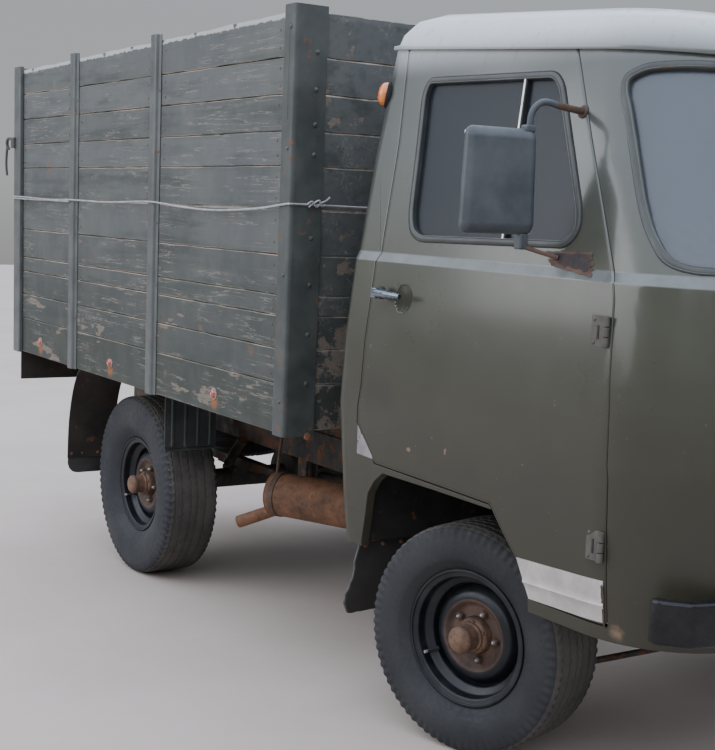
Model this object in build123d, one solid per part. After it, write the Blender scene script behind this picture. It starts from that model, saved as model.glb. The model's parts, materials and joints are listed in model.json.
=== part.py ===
from build123d import *
import os
import math

os.makedirs("parts", exist_ok=True)

# A light forward-control army lorry with a tall planked load body.
# Millimetres. The truck is drawn level first: X to its left, Y to its rear, Z up,
# Y = 0 between the axles. At the end every piece is tipped nose-down by RAKE,
# because the front tyres are smaller than the rear ones, and moved so that the
# origin is the middle of the footprint, on the ground.

# ---------------------------------------------------------------- dimensions
Y_FRONT_AXLE, Y_REAR_AXLE = -1220.0, 1080.0      # wheelbase 2300
Z_AXLE = 372.0                                   # both axles, level frame
X_WHEEL, X_WHEEL_FRONT = 722.0, 742.0            # half the track, rear and front
R_TYRE_REAR, R_TYRE_FRONT = 380.0, 333.0
HW_TYRE_REAR, HW_TYRE_FRONT = 118.0, 116.0       # half widths
R_RIM = 201.0                                    # rim flange
RAKE = math.degrees(math.atan2(R_TYRE_REAR - R_TYRE_FRONT, Y_REAR_AXLE - Y_FRONT_AXLE))
KINGPIN_IN = 120.0                               # kingpin inboard of the wheel plane
X_KING = X_WHEEL_FRONT - KINGPIN_IN
STEER_REST = 16.6                                # degrees to the left, as it is parked
SKIN = 30.0                                      # cab panel and door thickness
GAP = 8.0                                        # door gap
Y_BED_F, Y_BED_R = -470.0, 2196.0                # bed, front and rear faces
X_BOARD, T_BOARD = 968.0, 26.0                   # outer face of the side boards, thickness
X_POST = 988.0                                   # outer face of the steel posts
Z_BED_B, Z_BED_T = 840.0, 2160.0
Z_FLOOR = 980.0                                  # top of the load floor
X_RAIL, W_RAIL = 340.0, 60.0                     # frame rail centre and width
Z_RAIL_B, Z_RAIL_T = 565.0, 695.0
HINGE_X, HINGE_Y = 950.0, -1930.0                # door hinge line (level frame)
GATE_Y, GATE_Z = 2240.0, 976.0                   # tailgate hinge line

# ---------------------------------------------------------------- helpers
def B(x0, x1, y0, y1, z0, z1):
    return Solid.make_box(x1 - x0, y1 - y0, z1 - z0, Plane(origin=(x0, y0, z0)))

def cyl(p, d, r, h):
    return Solid.make_cylinder(r, h, Plane(origin=p, z_dir=d))

def bar(p, q, r):
    d = Vector(*q) - Vector(*p)
    return Solid.make_cylinder(r, d.length, Plane(origin=p, z_dir=d))

def poly_face(pts, plane):
    return Face(Wire.make_polygon([plane.from_local_coords(Vector(a, b, 0)) for a, b in pts], close=True))

def prism_x(yz, x0, x1):
    pl = Plane(origin=(x0, 0, 0), x_dir=(0, 1, 0), z_dir=(1, 0, 0))
    return Solid.extrude(poly_face(yz, pl), Vector(x1 - x0, 0, 0))

def prism_y(xz, y0, y1):
    pl = Plane(origin=(0, y0, 0), x_dir=(1, 0, 0), z_dir=(0, -1, 0))
    return Solid.extrude(poly_face(xz, pl), Vector(0, y1 - y0, 0))

def prism_z(xy, z0, z1):
    pl = Plane(origin=(0, 0, z0), x_dir=(1, 0, 0), z_dir=(0, 0, 1))
    return Solid.extrude(poly_face(xy, pl), Vector(0, 0, z1 - z0))

def turned_x(profile, x=0.0, y=0.0, z=0.0, side=1):
    """profile: (u along the axle, r) closed; u grows outboard, side +1 left, -1 right"""
    pts = [Vector(x + side * u, y, z + r) for u, r in profile]
    f = Face(Wire.make_polygon(pts, close=True))
    return Solid.revolve(f, 360, Axis((x, y, z), (1, 0, 0)))

def both(s):
    """a solid and its mirror image on the other side"""
    return [s, s.mirror(Plane.YZ)]

def cut(a, *tools):
    r = a
    for t in tools:
        r = r - t
    return r

def solids_of(shape):
    if isinstance(shape, (list, tuple)):
        out = []
        for s in shape:
            out += solids_of(s)
        return out
    return list(shape.solids())

def inset_poly(pts, d):
    """move each side of a convex-ish closed outline inwards by d (outwards if negative)"""
    n = len(pts)
    area = sum(pts[i][0] * pts[(i + 1) % n][1] - pts[(i + 1) % n][0] * pts[i][1] for i in range(n)) / 2
    s = 1 if area > 0 else -1
    lines = []
    for i in range(n):
        (x0, y0), (x1, y1) = pts[i], pts[(i + 1) % n]
        L = math.hypot(x1 - x0, y1 - y0)
        nx, ny = -s * (y1 - y0) / L, s * (x1 - x0) / L
        lines.append((x0 + nx * d, y0 + ny * d, x1 - x0, y1 - y0))
    out = []
    for i in range(n):
        ax, ay, adx, ady = lines[i - 1]
        bx, by, bdx, bdy = lines[i]
        den = adx * bdy - ady * bdx
        t = ((bx - ax) * bdy - (by - ay) * bdx) / den
        out.append((ax + t * adx, ay + t * ady))
    return out

def rounded_wire(pts, radii, z):
    """closed outline of lines and tangent arcs in a level plane"""
    n = len(pts)
    seg = []
    for i in range(n):
        P = Vector(*pts[i], 0)
        A = Vector(*pts[i - 1], 0) - P
        C = Vector(*pts[(i + 1) % n], 0) - P
        a, c = A.normalized(), C.normalized()
        half = math.acos(max(-1, min(1, a.dot(c)))) / 2
        t = radii[i] / math.tan(half)
        bis = (a + c).normalized()
        mid = P + bis * (radii[i] / math.sin(half) - radii[i])
        seg.append((P + a * t, mid, P + c * t))
    edges = []
    lift = Vector(0, 0, z)
    for i in range(n):
        s, m, e = seg[i]
        edges.append(Edge.make_three_point_arc(s + lift, m + lift, e + lift))
        edges.append(Edge.make_line(e + lift, seg[(i + 1) % n][0] + lift))
    return Wire(edges)

PARTS = {}
def keep(name, *shapes):
    # crumbs under a cubic centimetre are left over where two cuts meet, and are dropped
    PARTS.setdefault(name, []).extend([q for q in solids_of(list(shapes)) if q.volume > 1000])

# ---------------------------------------------------------------- cab shell
# level sections of the cab's outer skin, bottom to top
# columns: z at the nose, half width at the rear, half width at the nose, y of the rear, y of the nose,
#          nose corner radius, how far the middle of the nose stands forward, rise to the rear in degrees
CAB_SECTIONS = [
    (560, 922.4, 884, -740, -2120, 290, 20, 0.0),
    (700, 941.4, 903, -740, -2150, 300, 22, 0.0),
    (1000, 967.4, 930, -740, -2175, 300, 28, 0.0),
    (1200, 957.3, 922, -740, -2178, 300, 32, 0.0),
    (1430, 931.2, 898, -740, -2168, 300, 38, 0.0),
    (1455, 919.2, 887, -741, -2150, 300, 42, 0.0),
    (1740, 857.5, 818, -714, -2004, 290, 40, 0.0),
    (1990, 791.0, 757, -708, -1876, 272, 36, 3.8),
    (2030, 776.0, 742, -714, -1850, 262, 35, 3.8),
    (2076, 738.0, 705, -735, -1812, 245, 33, 3.8),
    (2108, 668.0, 634, -780, -1736, 215, 29, 3.8),
    (2127, 540.0, 506, -875, -1606, 178, 24, 3.8),
    (2137, 330.0, 300, -1080, -1420, 150, 10, 3.8),
]
# how much of a layer's depth each of the top sections comes down by
TOP_DROP = {8: 0.25, 9: 0.6, 10: 0.85, 11: 1.0, 12: 1.0}

def cab_wire(row, inset):
    z, wr, wn, yr, yn, rn, bow, tilt = row
    k = inset
    pts = [(wr - k, yr - k), (-(wr - k), yr - k), (-(wn - k), yn + k), (0, yn + k - bow), ((wn - k), yn + k)]
    w = rounded_wire(pts, [70 - k, 70 - k, rn - k, 2200, rn - k], z)
    return w.rotate(Axis((0, yn, z), (1, 0, 0)), tilt) if tilt else w

def cab_solid(inset, top_drop=0.0):
    wires = []
    for i, r in enumerate(CAB_SECTIONS):
        r = list(r)
        if i == 0:
            r[0] -= 2 if inset else 0          # the inner cutter runs past the open bottom
        r[0] -= top_drop * TOP_DROP.get(i, 0.0)
        wires.append(cab_wire(r, inset))
    return Solid.make_loft(wires, ruled=True)

def shell(a, b):
    """the layer of the cab between two depths under its skin"""
    return cab_solid(a, a) - cab_solid(b, b)

SHELL = shell(0.0, SKIN)

# the drip rail, and with it the top of the doors, rises towards the rear
HEAD_Y, HEAD_Z, HEAD_RISE = -1862.0, 1986.0, 0.0682
def head(y):
    """height of the roof panel's lower edge"""
    return HEAD_Z + HEAD_RISE * (y - HEAD_Y)

def soft(pts, radius, n=3):
    """outline with its corners rounded off in short straight steps"""
    out = []
    for i, p in enumerate(pts):
        P = Vector(*p)
        a, c = Vector(*pts[i - 1]) - P, Vector(*pts[(i + 1) % len(pts)]) - P
        k = min(radius, a.length * 0.42, c.length * 0.42)
        a, c = P + a.normalized() * k, P + c.normalized() * k
        for j in range(n + 1):
            s = j / n
            q = a * (1 - s) ** 2 + P * (2 * s * (1 - s)) + c * s ** 2
            out.append((q.X, q.Y))
    return out

# side view outlines, (y, z)
DOOR_FRONT = [(-1917, 606), (-1922, 716), (-1924, 836), (-1930, 968), (-1917, 1158), (-1889, 1390), (-1876, 1436), (-1676, 1770)]
DOOR = [(-824, head(-824) - 6), (-873, 1786), (-904, 1515), (-912, 1455), (-902, 1424), (-900, 1062), (-886, 948),
        (-965, 842), (-1238, 835), (-1500, 827), (-1556, 756), (-1608, 700), (-1634, 640), (-1649, 606)] \
       + DOOR_FRONT + [(-1546, head(-1546) - 6)]
ARCH = [(-868, 500), (-870, 574), (-904, 668), (-924, 738), (-958, 780), (-1003, 812), (-1240, 811), (-1560, 806),
        (-1660, 600), (-1715, 576), (-1715, 500)]
DOOR_WINDOW = soft([(-955, 1955), (-1490, 1944), (-1525, 1915), (-1703, 1598), (-1716, 1548), (-1685, 1512),
                    (-1080, 1503), (-1035, 1520), (-1008, 1570), (-944, 1915)], 26)
SEAM_F = [(-4000, 400), (-1640, 400), (-1640, 600), (-1923, 600)] + [(y - 6, z) for y, z in DOOR_FRONT[1:]] \
         + [(-1552, head(-1546)), (-1500, 2200), (-4000, 2200)]

FAR = 1400.0
door_out = inset_poly(DOOR, 0.0)
door_hole = inset_poly(DOOR, -GAP)

def side_prism(pts):
    return [prism_x(pts, 500, FAR), prism_x(pts, -FAR, -500)]

# roof
ABOVE = [(-3000, head(-3000)), (0, head(0)), (0, 2500), (-3000, 2500)]
BELOW = [(-3000, head(-3000)), (0, head(0)), (0, 400), (-3000, 400)]
roof = SHELL & prism_x(ABOVE, -FAR, FAR)
# front panel with its pillars: all that lies ahead of the door gap
body = SHELL & prism_x(BELOW, -FAR, FAR)
body = cut(body, *side_prism(door_hole))
front = body & prism_x(SEAM_F, -FAR, FAR)
rear = cut(body, prism_x(SEAM_F, -FAR, FAR), *side_prism(ARCH))
# the front panel ends a little behind the door gap at the sill; the sill stays with the sides

# windscreen: two panes cut square to a line between ahead and the corner
WS_TURN = 32.0
c32, s32 = math.cos(math.radians(WS_TURN)), math.sin(math.radians(WS_TURN))
def ws_prism(pts, d0, d1, side):
    d = Vector(-s32, -c32, 0)
    pl = Plane(origin=d * d0, x_dir=(c32, -s32, 0), z_dir=d)
    s = Solid.extrude(poly_face(pts, pl), d * (d1 - d0))
    # the middle post, 56 wide, is left standing
    s = s & B(-FAR, -28, -4000, 4000, 1300, 2100)
    return s if side < 0 else s.mirror(Plane.YZ)
# outline of the right-hand pane as seen along that line: (s, z)
WS_FULL = soft([(1260, 1953), (400, 1958), (310, 1950), (268, 1925), (262, 1890), (270, 1842), (292, 1628), (305, 1557),
                (337, 1487), (390, 1470), (1260, 1462)], 26)
front = cut(front, ws_prism(WS_FULL, 1000, 2700, -1), ws_prism(WS_FULL, 1000, 2700, 1))

# openings in the nose: headlamps, turn lamps and the air slots
LAMP_X, LAMP_Z, LAMP_R = 590.0, 915.0, 92.0
TURN_X, TURN_Z, TURN_R = 640.0, 1092.0, 36.0
nose_tools = []
for x, z, r in ((LAMP_X, LAMP_Z, LAMP_R), (TURN_X, TURN_Z, TURN_R)):
    for s in (1, -1):
        nose_tools.append(cyl((s * x, -2300, z), (0, 1, 0), r, 320))
N_SLOTS, SLOT_H, SLOT_PITCH, SLOT_HALF, SLOT_Z0 = 6, 20.0, 44.0, 330.0, 800.0
for i in range(N_SLOTS):
    z = SLOT_Z0 + i * SLOT_PITCH
    nose_tools.append(B(-SLOT_HALF, SLOT_HALF, -2320, -2050, z, z + SLOT_H))
# the middle of the lower edge is cut away over the frame ends, behind the bumper
front = cut(front, *nose_tools, B(-410, 410, -2300, -1950, 400, 712))

# back window of the cab
BACK_WIN = [(-360, 1540), (360, 1540), (360, 1850), (-360, 1850)]
rear = cut(rear, prism_y(BACK_WIN, -900, -650), B(-640, 640, -900, -650, 400, 842))
keep("cab_roof", roof)
keep("cab_front_panel", front)
keep("cab_back_and_sides", rear)

# glass sits in the middle of the panel thickness
PANE = shell(12.0, 17.0)
for s in (-1, 1):
    keep("cab_glass", PANE & ws_prism(inset_poly(WS_FULL, 1.0), 1000, 2700, s) & (B(-FAR, -30, -4000, 0, 1300, 2100) if s < 0 else B(30, FAR, -4000, 0, 1300, 2100)))
keep("cab_glass", PANE & prism_y(inset_poly(BACK_WIN, 1.0), -900, -650))

# doors
DISH_R, DISH_X, DISH_Y, DISH_Z = 71.3, 991.0, -1060.0, 1338.0
door_ring = SHELL & prism_x(BELOW, -FAR, FAR)
for side, name in ((1, "left"), (-1, "right")):
    x0, x1 = (500, FAR) if side > 0 else (-FAR, -500)
    panel = (door_ring & prism_x(DOOR, x0, x1)) - prism_x(DOOR_WINDOW, x0, x1)
    # a round dish for the fingers behind the handle
    panel = panel - Solid.make_sphere(DISH_R).move(Location((side * DISH_X, DISH_Y, DISH_Z)))
    keep("door_" + name, panel)
    keep("door_glass_" + name, PANE & prism_x(inset_poly(DOOR_WINDOW, 1.0), x0, x1))

# door handles, on the skin at the rear edge
for side, name in ((1, "left"), (-1, "right")):
    x = side * 951.0
    h = B(min(x, x + side * 34), max(x, x + side * 34), -985, -965, 1334, 1352) \
        + B(min(x + side * 20, x + side * 34), max(x + side * 20, x + side * 34), -1095, -965, 1334, 1352)
    keep("door_handle_" + name, h)

# mirrors: plastic head, bent tube from the door's upper front corner, lower stay
MIRROR_X, MIRROR_Y, MIRROR_Z = 1038.0, -1605.0, 1662.0
for side, name in ((1, "left"), (-1, "right")):
    head = B(-100, 100, -26, 26, -132, 132)
    head = head.rotate(Axis.Z, side * 8).move(Location((side * MIRROR_X, MIRROR_Y, MIRROR_Z)))
    arm_pts = [(side * 815, -1630, 1843), (side * 930, -1620, 1860), (side * 960, -1613, 1840), (side * 961, -1612, 1780)]
    path = FilletPolyline(*[Vector(*p) for p in arm_pts], radius=24)
    arm = sweep(Plane(origin=path @ 0, z_dir=path % 0) * Circle(9), path=path)
    clamp = B(-14, 14, -15, 15, -34, 6).move(Location((side * 966, -1607, 1528)))
    stay = bar((side * 966, -1609, 1504), (side * 897, -1672, 1479), 6)
    keep("mirror_" + name, head + arm.solids()[0] + clamp + stay)

# ---------------------------------------------------------------- cab floor and inside
IN = cab_solid(SKIN + 14, SKIN + 14)             # the space inside the panels, 14 clear
IN_TIGHT = cab_solid(SKIN + 1.5, SKIN + 1.5)
FT = 8.0                                         # floor plate thickness
Z_WELL, Z_DECK = 606.0, 846.0                    # foot well and the deck above the wheels
Y_STEP_F, Y_STEP_R = -1655.0, -850.0
X_TUNNEL = 392.0
def plate(x0, x1, y0, y1, z0, z1):
    return B(x0, x1, y0, y1, z0, z1)
PJ = 0.8                                         # joint between two floor plates
# foot wells: the sole plate and the step up behind it
keep("foot_wells", [both(p) for p in (
    plate(X_TUNNEL + FT + PJ, 940, -2160, Y_STEP_F + FT, Z_WELL, Z_WELL + FT) & IN,
    plate(X_TUNNEL + FT + PJ, 940, Y_STEP_F, Y_STEP_F + FT, Z_WELL + FT + PJ, Z_DECK - PJ) & IN)])
# the deck over the front wheels, the sides of the engine tunnel and the plate behind the wheels
keep("cab_floor", [both(p) for p in (
    plate(X_TUNNEL + FT + PJ, 940, Y_STEP_F, -772, Z_DECK, Z_DECK + FT) & IN,
    plate(X_TUNNEL, X_TUNNEL + FT, -2160, -772, Z_WELL, Z_DECK + 130) & IN,
    plate(X_TUNNEL + FT + PJ, 905, Y_STEP_R, Y_STEP_R + FT, 566, Z_DECK - PJ) & IN)])
# seat boxes: four walls and a lid
SEAT_X0, SEAT_X1, SEAT_Y0, SEAT_Y1, Z_SEAT = 404.0, 836.0, -1440.0, -1010.0, 968.0
box = B(SEAT_X0, SEAT_X1, SEAT_Y0, SEAT_Y1, Z_DECK + FT + PJ, Z_SEAT) - B(SEAT_X0 + 10, SEAT_X1 - 10, SEAT_Y0 + 10, SEAT_Y1 - 10, Z_DECK, Z_SEAT - 10)
keep("seat_boxes", both(box))
# the deck between the two halves, behind the engine, and the bulkhead behind it
keep("cab_floor", B(-X_TUNNEL + PJ, X_TUNNEL - PJ, -990, -794 - PJ, Z_DECK + 122, Z_DECK + 130))
keep("cab_floor", B(-X_TUNNEL + PJ, X_TUNNEL - PJ, -794, -786, 780, Z_DECK + 130))

# engine cover: an open-bottomed box between the seats
X_COVER = 384.0
cover = B(-X_COVER, X_COVER, -1905, -996, 702, 1128) - B(-X_COVER + 8, X_COVER - 8, -1897, -1004, 690, 1120)
cover = cover - prism_x([(-1950, 1140), (-1950, 980), (-1760, 1140)], -400, 400)
cover = cover + (prism_x([(-1905, 966), (-1905, 980), (-1772, 1128), (-1752, 1128)], -X_COVER, X_COVER))
keep("engine_cover", cover)

# seats: cushion and backrest for each side
for s in (1, -1):
    x0, x1 = (SEAT_X0 + 10, SEAT_X1 - 10) if s > 0 else (-(SEAT_X1 - 10), -(SEAT_X0 + 10))
    keep("seats", B(x0, x1, SEAT_Y0 - 20, SEAT_Y1 - 20, Z_SEAT + 1, Z_SEAT + 121))
    keep("seats", prism_x([(-1012, Z_SEAT + 60), (-912, Z_SEAT + 40), (-838, 1530), (-930, 1545)], x0, x1))

# dashboard: follows the inside of the nose
dash = cab_solid(SKIN + 2, SKIN + 2) & B(-FAR, FAR, -2400, -1985, 1240, 1432)
dash = dash - (B(-780, 780, -2110, -1999, 1230, 1400))
keep("dashboard", dash)

# steering column and wheel (left-hand drive)
COL_TOP = (600.0, -1690.0, 1322.0)
COL_BOT = (600.0, -1905.0, 640.0)
cd = (Vector(*COL_TOP) - Vector(*COL_BOT)).normalized()
column = bar(COL_BOT, tuple(Vector(*COL_TOP) - cd * 30), 24)
keep("steering_column", column)
wheel_pl = Plane(origin=COL_TOP, z_dir=cd)
rim_pts = [wheel_pl.from_local_coords(Vector(200 + 12.3 * math.cos(math.radians(a)), 0, 12.3 * math.sin(math.radians(a))))
           for a in range(18, 378, 36)]
ring = Face(Wire.make_polygon(rim_pts, close=True))
rim_s = Solid.revolve(ring, 360, Axis(COL_TOP, tuple(cd)))
hubc = Solid.make_cylinder(34, 40, Plane(origin=tuple(Vector(*COL_TOP) - cd * 24), z_dir=cd))
sw = rim_s + hubc
for a in (30, 150, 270):
    dirn = wheel_pl.x_dir.rotate(Axis((0, 0, 0), tuple(cd)), a)
    sw = sw + bar(tuple(Vector(*COL_TOP) + dirn * 10), tuple(Vector(*COL_TOP) + dirn * 198), 8)
keep("steering_wheel", sw)

# ---------------------------------------------------------------- lamps
for s in (1, -1):
    keep("headlamps", cyl((s * LAMP_X, -2222, LAMP_Z), (0, 1, 0), LAMP_R - 1.5, 110))
    keep("small_lamps", cyl((s * TURN_X, -2205, TURN_Z), (0, 1, 0), TURN_R - 1.5, 70))
    # round side repeater high on the back pillar
    rep_axis = Vector(s * 0.80, 0.57, 0.18).normalized()
    keep("small_lamps", cyl(tuple(Vector(s * 803.0, -742.0, 1925) + rep_axis * 3.0), tuple(rep_axis), 38, 31))
    for y in (55, 1013, 1853):
        keep("small_lamps", cyl((s * (X_BOARD + 0.5), y, 908), (s, 0, 0), 19, 14))
    keep("small_lamps", B(min(s * 700, s * 830), max(s * 700, s * 830), 2196, 2238, 742, 806))
    keep("small_lamps", B(min(s * 764, s * 796), max(s * 764, s * 796), 2150, 2196, 760, 790) )

# ---------------------------------------------------------------- frame
def rail(s):
    x0, x1 = s * (X_RAIL - W_RAIL / 2), s * (X_RAIL + W_RAIL / 2)
    outer = B(min(x0, x1), max(x0, x1), -2191.5, 2150, Z_RAIL_B, Z_RAIL_T)
    xi0, xi1 = s * (X_RAIL - W_RAIL / 2 - 5), s * (X_RAIL + W_RAIL / 2 - 6)
    inner = B(min(xi0, xi1), max(xi0, xi1), -2250, 2200, Z_RAIL_B + 6, Z_RAIL_T - 6)
    return outer - inner
rails = [rail(1), rail(-1)]
keep("frame_rails", rails)
# cross members: pressed channels whose ends meet the rail webs between the flanges
# columns: y, bottom z, top z, width
CROSS_MEMBERS = [(-2120, 571, 689, 60), (-560, 573, 649, 70), (330, 581, 689, 60), (1500, 581, 689, 60), (2120, 571, 689, 60)]
X_WEB = X_RAIL + W_RAIL / 2 - 6
for y, z0, z1, w in CROSS_MEMBERS:
    keep("frame_cross_members", B(-X_WEB, X_WEB, y - w / 2, y + w / 2, z0, z1)
         - B(-X_WEB - 40, X_WEB + 40, y - w / 2 + 5, y + w / 2 + 5, z0 + 5, z1 - 5))
# spring hangers: two plates under the rail at each spring end
for y in (Y_FRONT_AXLE - 640, Y_FRONT_AXLE + 640, Y_REAR_AXLE - 640, Y_REAR_AXLE + 640):
    for s in (1, -1):
        for a in (-28, 22):
            keep("spring_hangers", B(a, a + 6, -34, 34, 455, Z_RAIL_B).move(Location((s * X_RAIL, y, 0))))
# towing jaw with its own pin at the rear, and two open hooks under the rails at the front
TOW_Z = 632.0
jaw = B(-60, 60, 2150, 2162, TOW_Z - 56, TOW_Z + 56) + B(-38, 38, 2160, 2232, TOW_Z + 20, TOW_Z + 34) + B(-38, 38, 2160, 2232, TOW_Z - 34, TOW_Z - 20)
jaw = jaw + cyl((0, 2206, TOW_Z - 50), (0, 0, 1), 14, 104)
keep("tow_fittings", jaw)
HOOK = [(-2120, 565), (-2120, 532), (-2186, 513), (-2218, 520), (-2231, 544), (-2228, 578), (-2215, 584), (-2211, 552), (-2200, 538), (-2178, 541), (-2160, 565)]
for s in (1, -1):
    keep("tow_fittings", prism_x(HOOK, s * X_RAIL - 12, s * X_RAIL + 12))

# front bumper: a channel swept back at its ends
BUMP = [(-905, -2075), (-905, -2105), (-850, -2165), (-560, -2228), (560, -2228), (850, -2165), (905, -2105), (905, -2075)]
outer = prism_z(BUMP + [(870, -2075), (870, -2098), (836, -2132), (552, -2192), (-552, -2192), (-836, -2132), (-870, -2098), (-870, -2075)], 606, 716)
keep("front_bumper", outer)

# ---------------------------------------------------------------- axles, springs
R_TUBE = 42.0
def axle_tube(y, half, xdiff):
    t = bar((-half, y, Z_AXLE), (half, y, Z_AXLE), R_TUBE)
    d = Solid.make_sphere(150, Plane(origin=(xdiff, y, Z_AXLE))) & B(xdiff - 95, xdiff + 95, y - 200, y + 200, 150, 600)
    return t + d
ZU, ZL = Z_AXLE + 62, Z_AXLE - 62                # kingpin eyes
X_DIFF_F, X_DIFF_R = 150.0, 0.0
front_axle = axle_tube(Y_FRONT_AXLE, 525, X_DIFF_F)
nosef = cyl((X_DIFF_F, Y_FRONT_AXLE + 100, Z_AXLE), (0, 1, 0), 55, 100)
front_axle = front_axle + nosef
for s in (1, -1):
    yoke = B(505, 542, Y_FRONT_AXLE - 45, Y_FRONT_AXLE + 45, Z_AXLE - 86, Z_AXLE + 86) \
        + B(505, 636, Y_FRONT_AXLE - 26, Y_FRONT_AXLE + 26, Z_AXLE + 68, Z_AXLE + 86) \
        + B(505, 636, Y_FRONT_AXLE - 26, Y_FRONT_AXLE + 26, Z_AXLE - 86, Z_AXLE - 68)
    if s < 0:
        yoke = yoke.mirror(Plane.YZ)
    front_axle = front_axle + yoke
    pad = B(-38, 38, Y_FRONT_AXLE - 50, Y_FRONT_AXLE + 50, Z_AXLE + 20, Z_AXLE + 52).move(Location((s * X_RAIL, 0, 0)))
    front_axle = front_axle + pad
keep("front_axle", front_axle)
rear_axle = axle_tube(Y_REAR_AXLE, 596, X_DIFF_R)
rear_axle = rear_axle + cyl((X_DIFF_R, Y_REAR_AXLE - 200, Z_AXLE), (0, 1, 0), 55, 100)
for s in (1, -1):
    rear_axle = rear_axle + cyl((s * 596, Y_REAR_AXLE, Z_AXLE), (s, 0, 0), 150, 8)
    rear_axle = rear_axle + B(-38, 38, Y_REAR_AXLE - 50, Y_REAR_AXLE + 50, Z_AXLE + 20, Z_AXLE + 52).move(Location((s * X_RAIL, 0, 0)))
keep("rear_axle", rear_axle)

LEAVES = [(640, 0), (560, 1), (460, 2), (350, 3), (240, 4), (130, 5)]   # half length, row from the top
T_LEAF, W_SPRING = 8.0, 42.0
for y in (Y_FRONT_AXLE, Y_REAR_AXLE):
    z_bot = Z_AXLE + 52
    pts = []
    zt = z_bot + T_LEAF * len(LEAVES)
    left = []
    for hl, k in LEAVES:
        zk = zt - T_LEAF * k
        left.append((hl, zk))
        left.append((hl, zk - T_LEAF))
    pts = [(y + a, b) for a, b in left] + [(y - a, b) for a, b in reversed(left)]
    pk = prism_x(pts, -W_SPRING / 2, W_SPRING / 2)
    for e in (-1, 1):
        pk = pk + cyl((-W_SPRING / 2, y + e * 640, zt - 8), (1, 0, 0), 18, W_SPRING)
    for s in (1, -1):
        keep("leaf_springs", pk.moved(Location((s * X_RAIL, 0, 0))))
# dampers: from a bracket near the axle to the outside of the rail
for y, dy in ((Y_FRONT_AXLE, 190), (Y_REAR_AXLE, -190)):
    for s in (1, -1):
        a = (s * 400, y + dy * 0.25, Z_AXLE + 75)
        b = (s * 400, y + dy * 0.95, Z_RAIL_T - 124)
        keep("dampers", bar(a, b, 22))

# ---------------------------------------------------------------- drive line
keep("engine_block", B(-175, 175, -1840, -1190, 545, 1010))
keep("radiator", B(-270, 270, -2040, -1975, 700, 1090))
gear = B(-150, 150, -1188, -900, 545, 698) + B(-110, 110, -902, -700, 530, 700) + B(-120, 180, -702, -600, 430, 690)
keep("gearbox_and_transfer_case", gear)
shaft_r = bar((0, -594, 500), (0, Y_REAR_AXLE - 206, Z_AXLE + 4), 30)
shaft_f = bar((X_DIFF_F, Y_FRONT_AXLE + 212, Z_AXLE + 6), (X_DIFF_F, -714, 455), 28)
keep("drive_shafts", shaft_r, shaft_f)

# silencer lying across under the frame on the right, with its tail pipe
MUF_A, MUF_B, R_MUF = (-590.0, 262.0, 477.0), (-300.0, -328.0, 470.0), 84.0
muf = bar(MUF_A, MUF_B, R_MUF)
tail = bar((-560.0, 200.0, 440.0), (-700.0, 352.0, 352.0), 24)
inp = bar((-318.0, -290.0, 474.0), (-238.0, -828.0, 468.0), 24)
keep("exhaust", muf + tail + inp)

# fuel tank on the left
tank = B(450, 800, -330, 420, 470, 760)
keep("fuel_tank", tank)

# ---------------------------------------------------------------- load bed
floor_planks = B(-938, 938, Y_BED_F + 32, Y_BED_R - 44, Z_FLOOR - 30, Z_FLOOR)
keep("bed_floor", floor_planks)
# steel under the planks: seven bearers across the truck, and two runners on the frame rails
for y in (-452, 10, 470, 700, 1500, 1760, 2150):
    keep("bed_subframe", B(-915, 915, y - 30 if y > -400 else Y_BED_F + 32, y + 30, 850, Z_FLOOR - 30))
for s in (1, -1):
    x0, x1 = s * 315, s * 365
    keep("bed_subframe", B(min(x0, x1), max(x0, x1), Y_BED_F + 32, Y_BED_R - 20, Z_RAIL_T, 850))

# plank joints of the sides, heights from the bottom rail up (level frame)
Z_BED_TF = 2188.0                                # the top edge is higher at the front
def bed_top(y):
    return Z_BED_T + (Z_BED_TF - Z_BED_T) * (Y_BED_R - y) / (Y_BED_R - Y_BED_F)
JOINTS = [1003, 1118, 1226, 1293, 1423, 1569, 1707, 1817, 1932, 2047, 2160]
for side, name in ((1, "left"), (-1, "right")):
    x0, x1 = side * (X_BOARD - T_BOARD), side * X_BOARD
    xa, xb = min(x0, x1), max(x0, x1)
    for z0, z1 in zip(JOINTS[:-2], JOINTS[1:-1]):
        keep("bed_side_" + name, B(xa, xb, Y_BED_F + 4, Y_BED_R - 10, z0 + 1.5, z1 - 1.5))
    ya, yb = Y_BED_F + 4, Y_BED_R - 10
    keep("bed_side_" + name, prism_x([(ya, JOINTS[-2] + 1.5), (yb, JOINTS[-2] + 1.5), (yb, bed_top(yb) - 1.5), (ya, bed_top(ya) - 1.5)], xa, xb))
    keep("bed_side_" + name, B(xa, xb, Y_BED_F + 4, Y_BED_R - 10, Z_BED_B, JOINTS[0] - 1.5))
for z0, z1 in zip(JOINTS[:-1], JOINTS[1:-1] + [Z_BED_TF]):
    keep("bed_front_wall", B(-940, 940, Y_BED_F + 4, Y_BED_F + 30, z0 + 1.5, z1 - 1.5))
keep("bed_front_wall", B(-940, 940, Y_BED_F + 4, Y_BED_F + 30, Z_BED_B + 12, JOINTS[0] - 1.5))

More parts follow.
